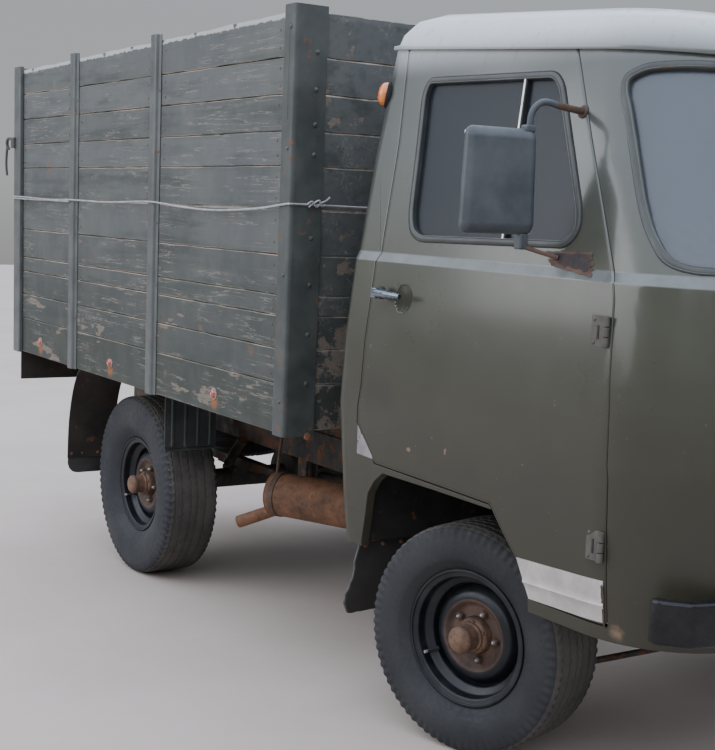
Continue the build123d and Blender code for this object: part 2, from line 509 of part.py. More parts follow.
# steel: corner angles, two stakes a side, posts and rail on the front wall
for side in (1, -1):
    def bx(x0, x1, y0, y1, z0, z1):
        a, b = side * x0, side * x1
        return B(min(a, b), max(a, b), y0, y1, z0, z1)
    corner = bx(X_BOARD + 0.5, X_POST, Y_BED_F - 8, Y_BED_F + 82, Z_BED_B - 4, Z_BED_TF + 16) \
        + bx(X_POST - 120, X_POST, Y_BED_F - 8, Y_BED_F + 3.5, Z_BED_B - 4, Z_BED_TF + 16)
    keep("bed_posts", corner)
    for yc in (597, 1437):
        keep("bed_posts", bx(X_BOARD + 0.5, X_POST, yc - 43, yc + 43, Z_BED_B - 4, bed_top(yc) + 18))
    keep("bed_posts", bx(X_BOARD + 0.5, X_POST, Y_BED_R - 92, Y_BED_R - 4, Z_BED_B - 4, Z_BED_T + 14)
         + bx(X_BOARD - 60, X_POST, Y_BED_R - 9.5, Y_BED_R - 4, Z_BED_B - 4, Z_BED_T + 14))
for xc in (-560, -190, 190, 560):
    keep("bed_posts", B(xc - 25, xc + 25, Y_BED_F - 24, Y_BED_F + 3.5, Z_BED_B + 16, 1420))

# tailgate: planks on three steel straps, hinged along its lower edge
gate = []
strap_x = (-700, 0, 700)
for z0, z1 in zip(JOINTS[:-1], JOINTS[1:]):
    gate.append(B(-955, 955, 2202, 2226, max(z0, 996) + 1.5, z1 - 1.5))
keep("tailgate", gate)
for x in strap_x:
    keep("tailgate", B(x - 30, x + 30, 2226.5, 2236, 1000, 2120) + cyl((x - 30, GATE_Y, GATE_Z), (1, 0, 0), 12, 60)
         + B(x - 30, x + 30, 2230, 2236, GATE_Z, 1002))

# wire round the bed at mid height, from the right rear post over the front to the left one
Z_WIRE, R_WIRE = 1578.0, 4.0
xw, yw = X_POST + R_WIRE + 1.2, Y_BED_F - 8 - R_WIRE - 1.2
wire_pts = [(-xw, Y_BED_R - 20, Z_WIRE - 12), (-xw, 1437, Z_WIRE - 9), (-xw, 597, Z_WIRE - 2), (-xw, yw, Z_WIRE + 8),
            (xw, yw, Z_WIRE + 8), (xw, 597, Z_WIRE - 2), (xw, 1437, Z_WIRE - 9), (xw, Y_BED_R - 20, Z_WIRE - 12)]
wpath = FilletPolyline(*[Vector(*p) for p in wire_pts], radius=[400, 400, 8, 8, 400, 400])
wire = sweep(Plane(origin=wpath @ 0, z_dir=wpath % 0) * Circle(R_WIRE), path=wpath)
print("tie wire length", round(wpath.length, 1), "volume ratio", round(wire.volume / (math.pi * R_WIRE ** 2 * wpath.length), 4))
keep("tie_wire", wire)

# plates that hang from the rearmost bearer and carry the tail lamps
for s in (1, -1):
    keep("lamp_brackets", B(min(s * 612, s * 940), max(s * 612, s * 940), 2143, 2149, 700, 849)
         + B(min(s * 900, s * 962), max(s * 900, s * 962), 2143, 2149, 700, 837))

# rear mudguards: bent sheet behind each rear wheel and a splash plate ahead of it
for s in (1, -1):
    def mx(a, b):
        return (s * a, s * b) if s > 0 else (-b, -a)
    x0, x1 = mx(700, 925)
    pts_o = [(1440, 846), (1500, 800), (1560, 700), (1600, 560), (1612, 372)]
    pts_i = [(1436, 840), (1494, 797), (1555, 698), (1595, 559), (1607, 372)]
    keep("rear_mudguards", prism_x(pts_o + pts_i[::-1], x0, x1))
    x0, x1 = mx(664, 890)
    keep("rear_mudguards", B(x0, x1, 636, 640, 596, 849))
    x0, x1 = mx(640, 886)
    keep("front_mudflaps", prism_x([(-814, 560), (-808, 560), (-786, 470), (-706, 298), (-712, 298), (-792, 470)], x0, x1))

# spare wheel under the tail of the bed
Y_SPARE, Z_SPARE = 1880.0, 450.0
sp = Solid.make_cylinder(R_TYRE_FRONT, 192, Plane(origin=(0, Y_SPARE, Z_SPARE - 96)))
sp = sp - Solid.make_cylinder(R_RIM - 20, 400, Plane(origin=(0, Y_SPARE, 200)))
spd = Solid.make_cylinder(R_RIM - 21, 8, Plane(origin=(0, Y_SPARE, Z_SPARE - 24))) - Solid.make_cylinder(56, 60, Plane(origin=(0, Y_SPARE, Z_SPARE - 60)))
keep("spare_wheel", sp, spd)

# ---------------------------------------------------------------- wheels
def tyre_profile(R, hw):
    rb = R_RIM - 17.5                            # bead seat
    pts = [(-70, rb)]
    pts += [(-74, R_RIM + 3), (-hw + 6, rb + (R - rb) * 0.34), (-hw, rb + (R - rb) * 0.56), (-hw + 3, R - 30),
            (-hw + 10, R - 9), (-hw + 24, R - 1), (-hw + 40, R)]
    pts += [(-u, r) for u, r in reversed(pts)]
    return pts
RIM = [(86, 193), (86, 201), (79, 201), (74, 182.5), (44, 181), (30, 158), (-14, 158), (-30, 181), (-74, 182.5), (-79, 201), (-86, 201), (-86, 193),
       (-81, 193), (-77, 177), (-33, 175.5), (-17, 152.5), (33, 152.5), (47, 175.5), (77, 177), (81, 193)]
DISC = [(2, 153), (2, 146), (34, 124), (40, 112), (38, 104), (22, 88), (22, 54), (28, 54), (28, 86), (44, 101), (46, 112), (40, 128), (10, 149), (10, 153)]
HUB = [(-56, 0), (-56, 148), (14, 148), (14, 128), (21.5, 70), (21.5, 53), (50, 53), (56, 48), (56, 44), (66, 44), (66, 38), (110, 36), (118, 27), (118, 0)]

def wheel(name, side, xw, y, R, hw, turn=0.0):
    x = side * xw
    t = turned_x(tyre_profile(R, hw), x, y, Z_AXLE, side)
    rim = turned_x(RIM, x, y, Z_AXLE, side) + turned_x(DISC, x, y, Z_AXLE, side)
    hub = turned_x(HUB, x, y, Z_AXLE, side)
    if turn:
        ax = Axis((side * X_KING, y, Z_AXLE), (0, 0, 1))
        t, rim, hub = t.rotate(ax, turn), rim.rotate(ax, turn), hub.rotate(ax, turn)
    keep("tyre_" + name, t)
    keep("wheel_" + name, rim)
    keep("wheel_" + name, hub)

wheel("front_left", 1, X_WHEEL_FRONT, Y_FRONT_AXLE, R_TYRE_FRONT, HW_TYRE_FRONT, STEER_REST)
wheel("front_right", -1, X_WHEEL_FRONT, Y_FRONT_AXLE, R_TYRE_FRONT, HW_TYRE_FRONT, STEER_REST)
wheel("rear_left", 1, X_WHEEL, Y_REAR_AXLE, R_TYRE_REAR, HW_TYRE_REAR)
wheel("rear_right", -1, X_WHEEL, Y_REAR_AXLE, R_TYRE_REAR, HW_TYRE_REAR)

# steering knuckles and the track rod behind the front axle
ARM, ARM_Z = 140.0, Z_AXLE - 82
for side, name in ((1, "left"), (-1, "right")):
    kx, ky = side * X_KING, Y_FRONT_AXLE
    def kb(x0, x1, y0, y1, z0, z1):
        a, b = kx + side * x0, kx + side * x1
        return B(min(a, b), max(a, b), ky + y0, ky + y1, z0, z1)
    k = kb(-42, 34, -40, 40, Z_AXLE - 62, Z_AXLE + 62)
    k = k + cyl((kx + side * 33, ky, Z_AXLE), (side, 0, 0), 135, 25)
    k = k + kb(-18, 10, -66, -38, Z_AXLE - 62, Z_AXLE - 22) + kb(-18, 10, -66, -48, ARM_Z - 9, Z_AXLE - 40)
    k = k + kb(-18, 10, -ARM - 13, -48, ARM_Z - 9, ARM_Z + 9)
    k = k + cyl((kx, ky - ARM, ARM_Z - 36), (0, 0, 1), 8, 36)
    k = k.rotate(Axis((kx, ky, Z_AXLE), (0, 0, 1)), STEER_REST)
    keep("knuckle_" + name, k)

# the rod hangs under the two arm ends, ahead of the axle
sr, cr = math.sin(math.radians(STEER_REST)), math.cos(math.radians(STEER_REST))
def arm_end(side):
    dx, dy = 0.0, -ARM
    return (side * X_KING + dx * cr - dy * sr, Y_FRONT_AXLE + dx * sr + dy * cr)
(lx, ly), (rx, ry) = arm_end(1), arm_end(-1)
rod = bar((rx, ry, ARM_Z - 25), (lx, ly, ARM_Z - 25), 10)
for (ex, ey) in ((lx, ly), (rx, ry)):
    rod = rod + cyl((ex, ey, ARM_Z - 34), (0, 0, 1), 15, 18)
for (ex, ey), clear in (((lx, ly), 1.0), ((rx, ry), 1.5)):
    rod = rod - cyl((ex, ey, ARM_Z - 60), (0, 0, 1), 8 + clear, 100)
keep("track_rod", rod)

# ---------------------------------------------------------------- tip, place and write
def all_boxes(shapes):
    bb = [s.bounding_box() for s in shapes]
    return (min(b.min.X for b in bb), max(b.max.X for b in bb), min(b.min.Y for b in bb), max(b.max.Y for b in bb), min(b.min.Z for b in bb))

tipped = {}
for name, sols in PARTS.items():
    if sols:
        tipped[name] = [s.rotate(Axis.X, RAKE) for s in sols]
x0, x1, y0, y1, z0 = all_boxes([s for v in tipped.values() for s in v])
SHIFT = Vector(-(x0 + x1) / 2, -(y0 + y1) / 2, -z0)
print("rake", round(RAKE, 4), "shift", tuple(round(v, 3) for v in SHIFT))
print("box", round(x1 - x0, 1), round(y1 - y0, 1))
for name, sols in sorted(tipped.items()):
    moved = [s.moved(Location(SHIFT)) for s in sols]
    export_step(Compound(moved) if len(moved) > 1 else moved[0], "parts/%s.step" % name)
print(len(tipped), "pieces")
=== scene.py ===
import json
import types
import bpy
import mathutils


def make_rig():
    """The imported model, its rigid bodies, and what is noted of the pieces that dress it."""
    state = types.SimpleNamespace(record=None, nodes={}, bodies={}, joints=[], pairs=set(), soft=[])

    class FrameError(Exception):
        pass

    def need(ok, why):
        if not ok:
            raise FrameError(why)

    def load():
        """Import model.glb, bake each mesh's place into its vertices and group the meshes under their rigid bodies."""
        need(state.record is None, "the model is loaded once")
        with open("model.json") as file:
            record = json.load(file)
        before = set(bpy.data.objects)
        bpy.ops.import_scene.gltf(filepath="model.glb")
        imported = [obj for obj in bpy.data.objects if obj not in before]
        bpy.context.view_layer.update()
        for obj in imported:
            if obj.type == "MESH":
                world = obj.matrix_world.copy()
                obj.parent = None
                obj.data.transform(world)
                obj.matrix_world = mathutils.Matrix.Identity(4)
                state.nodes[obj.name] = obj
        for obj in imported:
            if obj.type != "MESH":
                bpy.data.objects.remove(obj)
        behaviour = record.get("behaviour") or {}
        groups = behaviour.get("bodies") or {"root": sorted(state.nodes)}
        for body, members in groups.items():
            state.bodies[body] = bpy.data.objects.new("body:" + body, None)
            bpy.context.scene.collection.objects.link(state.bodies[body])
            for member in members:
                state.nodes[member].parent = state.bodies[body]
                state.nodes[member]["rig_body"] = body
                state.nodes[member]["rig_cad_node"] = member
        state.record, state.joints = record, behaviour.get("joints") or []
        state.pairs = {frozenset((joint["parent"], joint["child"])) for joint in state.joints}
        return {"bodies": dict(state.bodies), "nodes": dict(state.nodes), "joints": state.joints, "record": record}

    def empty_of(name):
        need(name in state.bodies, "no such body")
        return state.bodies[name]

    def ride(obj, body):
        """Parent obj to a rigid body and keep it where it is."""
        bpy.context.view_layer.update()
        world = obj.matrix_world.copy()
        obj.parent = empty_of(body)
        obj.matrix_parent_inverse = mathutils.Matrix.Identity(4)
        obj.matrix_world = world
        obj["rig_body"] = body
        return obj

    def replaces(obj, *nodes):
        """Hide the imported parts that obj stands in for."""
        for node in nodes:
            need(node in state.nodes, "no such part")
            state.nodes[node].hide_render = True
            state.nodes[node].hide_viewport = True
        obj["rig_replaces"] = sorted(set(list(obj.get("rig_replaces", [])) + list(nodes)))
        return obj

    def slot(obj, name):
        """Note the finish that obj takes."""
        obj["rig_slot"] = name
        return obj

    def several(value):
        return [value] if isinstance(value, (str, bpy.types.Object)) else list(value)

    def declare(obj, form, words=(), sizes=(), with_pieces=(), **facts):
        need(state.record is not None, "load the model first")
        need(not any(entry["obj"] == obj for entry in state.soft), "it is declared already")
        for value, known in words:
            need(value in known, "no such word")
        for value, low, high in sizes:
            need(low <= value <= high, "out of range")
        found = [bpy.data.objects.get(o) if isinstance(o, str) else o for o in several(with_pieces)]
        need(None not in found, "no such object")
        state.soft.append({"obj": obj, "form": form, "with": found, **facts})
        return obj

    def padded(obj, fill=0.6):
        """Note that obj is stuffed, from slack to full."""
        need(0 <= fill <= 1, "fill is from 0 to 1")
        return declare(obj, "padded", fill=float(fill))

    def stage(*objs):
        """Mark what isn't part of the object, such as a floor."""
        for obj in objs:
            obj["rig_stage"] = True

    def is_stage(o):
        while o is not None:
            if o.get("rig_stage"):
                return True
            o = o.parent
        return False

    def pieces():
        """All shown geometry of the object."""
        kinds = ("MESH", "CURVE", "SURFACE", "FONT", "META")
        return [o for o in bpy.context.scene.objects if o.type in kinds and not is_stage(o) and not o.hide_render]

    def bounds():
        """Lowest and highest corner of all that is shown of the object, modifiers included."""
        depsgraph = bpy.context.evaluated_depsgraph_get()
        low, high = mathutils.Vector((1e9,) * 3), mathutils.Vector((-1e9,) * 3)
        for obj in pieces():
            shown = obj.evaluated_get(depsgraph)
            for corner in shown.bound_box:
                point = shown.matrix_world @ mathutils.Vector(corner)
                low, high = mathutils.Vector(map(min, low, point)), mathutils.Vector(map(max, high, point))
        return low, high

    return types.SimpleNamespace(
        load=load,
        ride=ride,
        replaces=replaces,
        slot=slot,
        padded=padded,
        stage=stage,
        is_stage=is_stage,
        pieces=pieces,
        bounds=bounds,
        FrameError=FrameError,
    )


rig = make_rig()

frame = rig.load()

import json
import math
import random

import bmesh
import bpy
from mathutils import Matrix, Vector, noise
from mathutils.bvhtree import BVHTree

CAD_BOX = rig.bounds()
NODES = frame["nodes"]
random.seed(7)

# ------------------------------------------------------------------ the level frame
# The truck stands nose down on its smaller front tyres. All the tables below are in the
# level frame of the truck, in millimetres: X to its left, Y to its rear, Z up.
TH = math.atan2(380.0 - 333.0, 2300.0)
SHIFT = Vector((0.0, 0.005285, -0.012859))
LM = Matrix.Translation(SHIFT) @ Matrix.Rotation(TH, 4, "X") @ Matrix.Scale(0.001, 4)
LR = Matrix.Rotation(TH, 3, "X")


# ------------------------------------------------------------------ materials
class Mat:
    """A procedural material. self.lc is the place in the truck's level frame, in metres."""

    def __init__(self, name):
        self.m = bpy.data.materials.new(name)
        self.m.use_nodes = True
        self.t = self.m.node_tree
        self.b = self.t.nodes["Principled BSDF"]
        co = self.node("ShaderNodeTexCoord").outputs["Object"]
        mp = self.node("ShaderNodeMapping", vector_type="TEXTURE")
        mp.inputs["Location"].default_value = SHIFT
        mp.inputs["Rotation"].default_value = (TH, 0, 0)
        self.link(co, mp.inputs["Vector"])
        self.lc = mp.outputs["Vector"]
        sp = self.node("ShaderNodeSeparateXYZ")
        self.link(self.lc, sp.inputs[0])
        self.x, self.y, self.z = sp.outputs

    def node(self, kind, **props):
        n = self.t.nodes.new(kind)
        for k, v in props.items():
            setattr(n, k, v)
        return n

    def link(self, a, b):
        self.t.links.new(a, b)

    def put(self, sock, v):
        if isinstance(v, bpy.types.NodeSocket):
            self.link(v, sock)
        else:
            sock.default_value = v

    def scaled(self, sx, sy, sz):
        n = self.node("ShaderNodeMapping")
        n.inputs["Scale"].default_value = (sx, sy, sz)
        self.link(self.lc, n.inputs["Vector"])
        return n.outputs["Vector"]

    def noise(self, scale, detail=4.0, rough=0.55, co=None, dist=0.0):
        n = self.node("ShaderNodeTexNoise")
        self.link(co or self.lc, n.inputs["Vector"])
        n.inputs["Scale"].default_value = scale
        n.inputs["Detail"].default_value = detail
        n.inputs["Roughness"].default_value = rough
        n.inputs["Distortion"].default_value = dist
        return n.outputs["Fac"]

    def voronoi(self, scale, co=None):
        n = self.node("ShaderNodeTexVoronoi")
        self.link(co or self.lc, n.inputs["Vector"])
        n.inputs["Scale"].default_value = scale
        return n.outputs["Distance"]

    def op(self, kind, a, b=0.0, clamp=False):
        n = self.node("ShaderNodeMath", operation=kind, use_clamp=clamp)
        self.put(n.inputs[0], a)
        self.put(n.inputs[1], b)
        return n.outputs[0]

    def step(self, v, lo, hi, a=0.0, b=1.0):
        n = self.node("ShaderNodeMapRange", interpolation_type="SMOOTHSTEP")
        self.put(n.inputs["Value"], v)
        n.inputs["From Min"].default_value = lo
        n.inputs["From Max"].default_value = hi
        n.inputs["To Min"].default_value = a
        n.inputs["To Max"].default_value = b
        return n.outputs["Result"]

    def mix(self, f, a, b):
        n = self.node("ShaderNodeMix", data_type="RGBA")
        self.put(n.inputs[0], f)
        for sock, v in ((n.inputs[6], a), (n.inputs[7], b)):
            self.put(sock, v if isinstance(v, bpy.types.NodeSocket) else (*v, 1.0))
        return n.outputs[2]

    def bump(self, h, dist=0.001, strength=1.0, over=None):
        n = self.node("ShaderNodeBump")
        n.inputs["Strength"].default_value = strength
        n.inputs["Distance"].default_value = dist
        self.link(h, n.inputs["Height"])
        if over:
            self.link(over, n.inputs["Normal"])
        return n.outputs["Normal"]

    def blot(self, pts, reach, warp=0.02, scale=30.0, soft=0.25):
        """1 near any of the level points (metres), with a ragged edge"""
        wn = self.node("ShaderNodeTexNoise")
        self.link(self.lc, wn.inputs["Vector"])
        wn.inputs["Scale"].default_value = scale
        wn.inputs["Detail"].default_value = 5.0
        v1 = self.node("ShaderNodeVectorMath", operation="SUBTRACT")
        self.link(wn.outputs["Color"], v1.inputs[0])
        v1.inputs[1].default_value = (0.5, 0.5, 0.5)
        v2 = self.node("ShaderNodeVectorMath", operation="SCALE")
        self.link(v1.outputs[0], v2.inputs[0])
        v2.inputs["Scale"].default_value = warp * 2
        v3 = self.node("ShaderNodeVectorMath", operation="ADD")
        self.link(self.lc, v3.inputs[0])
        self.link(v2.outputs[0], v3.inputs[1])
        out = None
        for p, r in zip(pts, reach):
            d = self.node("ShaderNodeVectorMath", operation="DISTANCE")
            self.link(v3.outputs[0], d.inputs[0])
            d.inputs[1].default_value = p
            k = self.step(d.outputs["Value"], r * (1 - soft), r * (1 + soft), 1.0, 0.0)
            out = k if out is None else self.op("MAXIMUM", out, k)
        return out

    def done(self, color, rough, normal=None, metallic=0.0, coat=0.0, coat_rough=0.2, sheen=0.0, spec=0.5):
        b = self.b
        self.put(b.inputs["Base Color"], color if isinstance(color, bpy.types.NodeSocket) else (*color, 1.0))
        self.put(b.inputs["Roughness"], rough)
        self.put(b.inputs["Metallic"], metallic)
        b.inputs["Coat Weight"].default_value = coat
        b.inputs["Coat Roughness"].default_value = coat_rough
        b.inputs["Sheen Weight"].default_value = sheen
        b.inputs["Specular IOR Level"].default_value = spec
        if normal:
            self.link(normal, b.inputs["Normal"])
        return self.m


RUST_D, RUST_L = (0.060, 0.028, 0.016), (0.20, 0.092, 0.045)


def mat_cab():
    m = Mat("cab_paint")
    big = m.noise(2.2, 3, 0.6)
    mid = m.noise(14, 5, 0.6)
    col = m.mix(m.step(big, 0.3, 0.7), (0.038, 0.039, 0.026), (0.049, 0.050, 0.035))
    col = m.mix(m.op("MULTIPLY", m.step(mid, 0.5, 0.8), 0.35), col, (0.064, 0.062, 0.047))
    dust = m.op("MULTIPLY", m.step(m.z, 1.15, 0.60), m.step(mid, 0.25, 0.75, 0.25, 1.0))
    col = m.mix(m.op("MULTIPLY", dust, 0.40), col, (0.088, 0.072, 0.054))
    # painted shade: the cab's colour turns darker and browner towards the bottom
    col = m.mix(m.op("MULTIPLY", m.step(m.z, 1.40, 0.80), 0.75), col, (0.031, 0.028, 0.019))
    # painted reflection: a bluish grey cast on the upper cab, standing in for the sky's reflection
    col = m.mix(m.op("MULTIPLY", m.step(m.z, 1.42, 1.80), 0.45), col, (0.070, 0.082, 0.086))
    # painted highlight: the colour goes near-white towards the roof, standing in for the sky's reflection on it
    col = m.mix(m.op("MULTIPLY", m.step(m.z, 1.96, 2.08), 0.88), col, (0.47, 0.49, 0.50))
    # painted highlight: a pale band along the belt shoulder under the windows
    belt_highlight = m.op("MULTIPLY", m.step(m.z, 1.4285, 1.4315), m.step(m.z, 1.4590, 1.4550))
    col = m.mix(m.op("MULTIPLY", belt_highlight, m.step(mid, 0.2, 0.7, 0.30, 0.60)), col, (0.17, 0.19, 0.20))
    run = m.noise(5, 4, 0.6, co=m.scaled(6, 6, 0.5))
    col = m.mix(m.op("MULTIPLY", m.step(run, 0.58, 0.72), 0.22), col, (0.045, 0.040, 0.030))
    # chips down to primer and rust on the side that shows
    chips = m.blot([(-0.962, -0.935, 1.180), (-0.958, -1.140, 0.905), (-0.952, -1.310, 0.930), (-0.905, -2.010, 0.820),
                    (-0.905, -2.010, 0.775), (-0.93, -2.030, 1.02), (-0.886, -1.700, 1.475), (-0.893, -1.760, 1.452),
                    (-0.900, -1.955, 0.585), (-0.952, -0.905, 1.020), (-0.95, -1.72, 0.61)],
                   [0.007, 0.010, 0.008, 0.006, 0.007, 0.006, 0.016, 0.014, 0.030, 0.008, 0.015], 0.012, 60)
    specks = m.step(m.noise(70, 3, 0.5), 0.735, 0.76)
    chips = m.op("MAXIMUM", chips, m.op("MULTIPLY", specks, 0.7))
    col = m.mix(chips, col, (0.17, 0.115, 0.075))
    smear = m.blot([(-0.96, -0.965, 1.050), (-0.958, -1.02, 1.035)], [0.050, 0.040], 0.05, 18, 0.6)
    col = m.mix(m.op("MULTIPLY", smear, 0.7), col, (0.030, 0.028, 0.022))
    rough = m.step(m.noise(5, 5, 0.65), 0.25, 0.8, 0.26, 0.42)
    rough = m.op("ADD", rough, m.op("MULTIPLY", dust, 0.22), clamp=True)
    n1 = m.bump(m.noise(3.2, 2, 0.5), 0.008, 0.15)
    n2 = m.bump(m.noise(260, 2, 0.5), 0.0002, 0.25, n1)
    n3 = m.bump(m.op("SUBTRACT", 1.0, chips), 0.0008, 0.5, n2)
    m.done(col, rough, n3, coat_rough=0.14, spec=0.32)
    m.put(m.b.inputs["Coat Weight"], m.step(m.z, 1.05, 1.44, 0.08, 0.75))
    return m.m


JOINTS = (1003, 1118, 1226, 1293, 1423, 1569, 1707, 1817, 1932, 2047, 2160)
TONES = (0.48, 0.30, 0.22, 0.42, 0.35, 0.60, 0.52, 0.75, 0.55, 0.80, 0.66, 0.7)


def mat_planks():
    m = Mat("bed_planks")
    grain = m.noise(26, 6, 0.62, co=m.scaled(1.0, 0.05, 1.0))
    fine = m.noise(140, 4, 0.6, co=m.scaled(1.0, 0.035, 1.0))
    blot = m.noise(3.0, 5, 0.62)
    ramp = m.node("ShaderNodeValToRGB")
    ramp.color_ramp.interpolation = "CONSTANT"
    el = ramp.color_ramp.elements
    el[0].position, el[0].color = 0.0, (TONES[0],) * 3 + (1,)
    el[1].position, el[1].color = (JOINTS[0] - 800) / 1400, (TONES[1],) * 3 + (1,)
    for i, z in enumerate(JOINTS[1:]):
        e = el.new((z - 800) / 1400)
        e.color = (TONES[i + 2],) * 3 + (1,)
    m.link(m.step(m.z, 0.80, 2.20), ramp.inputs[0])
    # the ramp wants a straight run of height, not a smooth one
    ramp.inputs[0].links[0].from_node.interpolation_type = "LINEAR"
    tone = ramp.outputs["Color"]
    dark, light = (0.038, 0.042, 0.042), (0.108, 0.115, 0.117)
    col = m.mix(tone, dark, light)
    col = m.mix(m.step(blot, 0.35, 0.72, 0.0, 0.55), col, (0.112, 0.118, 0.108))
    col = m.mix(m.op("MULTIPLY", m.step(grain, 0.48, 0.66), 0.35), col, (0.042, 0.050, 0.044))
    wear = m.noise(7, 6, 0.62, co=m.scaled(1.0, 0.22, 1.6))
    col = m.mix(m.op("MULTIPLY", m.step(wear, 0.52, 0.68), 0.60), col, (0.036, 0.043, 0.040))
    col = m.mix(m.op("MULTIPLY", m.step(m.z, 1.60, 0.95), 0.50), col, (0.040, 0.045, 0.040))
    col = m.mix(m.op("MULTIPLY", m.step(m.z, 1.004, 1.000), 0.70), col, (0.036, 0.042, 0.034))
    # bare wood where the paint has gone, more towards the bottom and the front wall
    low = m.step(m.z, 1.55, 0.98, 0.0, 0.10)
    frontw = m.step(m.y, -0.45, -0.47, 0.0, 0.09)
    peel = m.op("ADD", m.op("ADD", m.noise(11, 7, 0.68, co=m.scaled(1, 0.22, 1.0)), low), frontw)
    bare = m.step(peel, 0.690, 0.712)
    wood = m.mix(fine, (0.085, 0.070, 0.054), (0.22, 0.185, 0.150))
    col = m.mix(bare, col, wood)
    rim = m.step(peel, 0.675, 0.697)
    crack = m.noise(30, 5, 0.6, co=m.scaled(1.0, 0.045, 1.0))
    crack = m.op("MULTIPLY", m.step(m.op("ABSOLUTE", m.op("SUBTRACT", crack, 0.5)), 0.012, 0.0), m.step(m.noise(6, 4, 0.6, co=m.scaled(1, 0.4, 1)), 0.46, 0.56))
    col = m.mix(m.op("MULTIPLY", crack, 0.75), col, (0.24, 0.21, 0.175))
    # the pale strip along the top edge, cut by dark notches
    edge = m.op("ADD", m.z, m.op("MULTIPLY", m.y, 0.010503))
    top = m.step(m.op("ADD", edge, m.op("MULTIPLY", m.noise(34, 4, 0.6), 0.022)), 2.173, 2.178)
    top = m.op("MULTIPLY", top, m.step(m.y, -0.468, -0.455))
    notch = m.blot([(-0.968, y / 1000, 2.181 - y * 1.05e-5) for y in (1983, 1430, 1128, 842, 552, 279, -30)], [0.016, 0.012, 0.018, 0.014, 0.016, 0.012, 0.016], 0.012, 40)
    top = m.op("MULTIPLY", top, m.op("SUBTRACT", 1.0, notch))
    col = m.mix(top, col, (0.40, 0.40, 0.40))
    spots = m.op("MULTIPLY", 0.6, m.blot([(-0.968, 1.749, 1.707), (-0.968, 1.265, 0.948), (-0.968, 0.474, 0.924), (-0.968, 2.022, 2.046),
                    (-0.968, -0.452, 0.862), (-0.968, 0.182, 1.124), (-0.968, -0.205, 1.092)],
                   [0.030, 0.016, 0.018, 0.018, 0.016, 0.020, 0.024], 0.03, 26))
    col = m.mix(spots, col, (0.13, 0.080, 0.055))
    stains = m.blot([(-0.968, y, 0.880) for y in (0.055, 1.013, 1.853)], [0.026] * 3, 0.012, 30, 0.5)
    col = m.mix(m.op("MULTIPLY", stains, 0.8), col, (0.26, 0.10, 0.035))
    rough = m.step(m.noise(9, 4), 0.3, 0.7, 0.52, 0.80)
    n1 = m.bump(grain, 0.003, 0.35)
    n2 = m.bump(fine, 0.0006, 0.5, n1)
    n3 = m.bump(m.op("SUBTRACT", 1.0, rim), 0.0011, 0.7, n2)
    return m.done(col, rough, n3, spec=0.35)


def mat_edge_wood():
    m = Mat("worn_plank_edge")
    fine = m.noise(120, 5, 0.65, co=m.scaled(1.0, 0.05, 1.0))
    far = m.step(m.noise(8, 6, 0.7, co=m.scaled(1, 0.3, 1)), 0.44, 0.56)
    wood = m.mix(fine, (0.17, 0.14, 0.11), (0.40, 0.34, 0.28))
    col = m.mix(far, (0.12, 0.12, 0.10), wood)
    return m.done(col, m.step(fine, 0.2, 0.8, 0.6, 0.9), m.bump(fine, 0.0012, 0.6))


def mat_steel(name, dark, light, rust=0.30, rough=(0.38, 0.62), scale=1.0, dents=0.0, coat=0.0):
    """painted steel with rust showing through where the paint is thin"""
    m = Mat(name)
    a = m.noise(7 * scale, 5, 0.62)
    col = m.mix(m.step(a, 0.3, 0.7), dark, light)
    r = m.noise(19 * scale, 7, 0.68)
    rusty = m.step(m.op("ADD", r, m.op("MULTIPLY", a, 0.25)), 0.93 - rust, 0.99 - rust)
    tone = m.mix(m.noise(90 * scale, 3, 0.6), RUST_D, RUST_L)
    col = m.mix(rusty, col, tone)
    rr = m.step(m.noise(12 * scale, 4), 0.3, 0.7, *rough)
    rr = m.op("ADD", rr, m.op("MULTIPLY", rusty, 0.25), clamp=True)
    nn = m.bump(m.noise(150 * scale, 3, 0.6), 0.0004, 0.5)
    nn = m.bump(rusty, 0.0007, 0.6, nn)
    if dents:
        nn = m.bump(m.noise(6, 2), dents, 0.4, nn)
    return m.done(col, rr, nn, coat=coat)


def mat_rusty(name, dark=RUST_D, light=RUST_L, scale=1.0):
    m = Mat(name)
    a = m.noise(9 * scale, 6, 0.66)
    b = m.noise(60 * scale, 5, 0.6)
    col = m.mix(m.step(a, 0.3, 0.7), dark, light)
    col = m.mix(m.op("MULTIPLY", m.step(b, 0.55, 0.7), 0.5), col, (0.03, 0.022, 0.018))
    return m.done(col, m.step(b, 0.2, 0.8, 0.65, 0.9), m.bump(b, 0.0012, 0.7))


def mat_tyre(name, dust=(0.115, 0.100, 0.085), amount=0.55, dark=(0.020, 0.020, 0.021)):
    m = Mat(name)
    a = m.noise(3.0, 4, 0.55)
    b = m.noise(85, 4, 0.6)
    col = m.mix(m.step(a, 0.3, 0.75), dark, tuple(c * 1.5 for c in dark))
    col = m.mix(m.op("MULTIPLY", m.step(m.op("ADD", a, m.op("MULTIPLY", b, 0.3)), 0.48, 0.85), amount), col, dust)
    rough = m.step(b, 0.3, 0.7, 0.58, 0.85)
    return m.done(col, rough, m.bump(b, 0.0006, 0.5), spec=0.35)


def mat_gloss(name, dark, light, rough=(0.10, 0.26), coat=0.6, dusty=0.12, spec=0.5):
    m = Mat(name)
    a = m.noise(9, 5, 0.65)
    b = m.noise(55, 4, 0.6)
    col = m.mix(m.step(a, 0.3, 0.7), dark, light)
    dust = m.op("MULTIPLY", m.step(m.op("ADD", a, m.op("MULTIPLY", b, 0.4)), 0.62, 0.95), dusty * 4)
    col = m.mix(dust, col, (0.12, 0.105, 0.09))
    rr = m.op("ADD", m.step(b, 0.25, 0.75, *rough), m.op("MULTIPLY", dust, 0.6), clamp=True)
    return m.done(col, rr, m.bump(m.noise(12, 2), 0.004, 0.15), coat=coat, coat_rough=0.08, spec=spec)


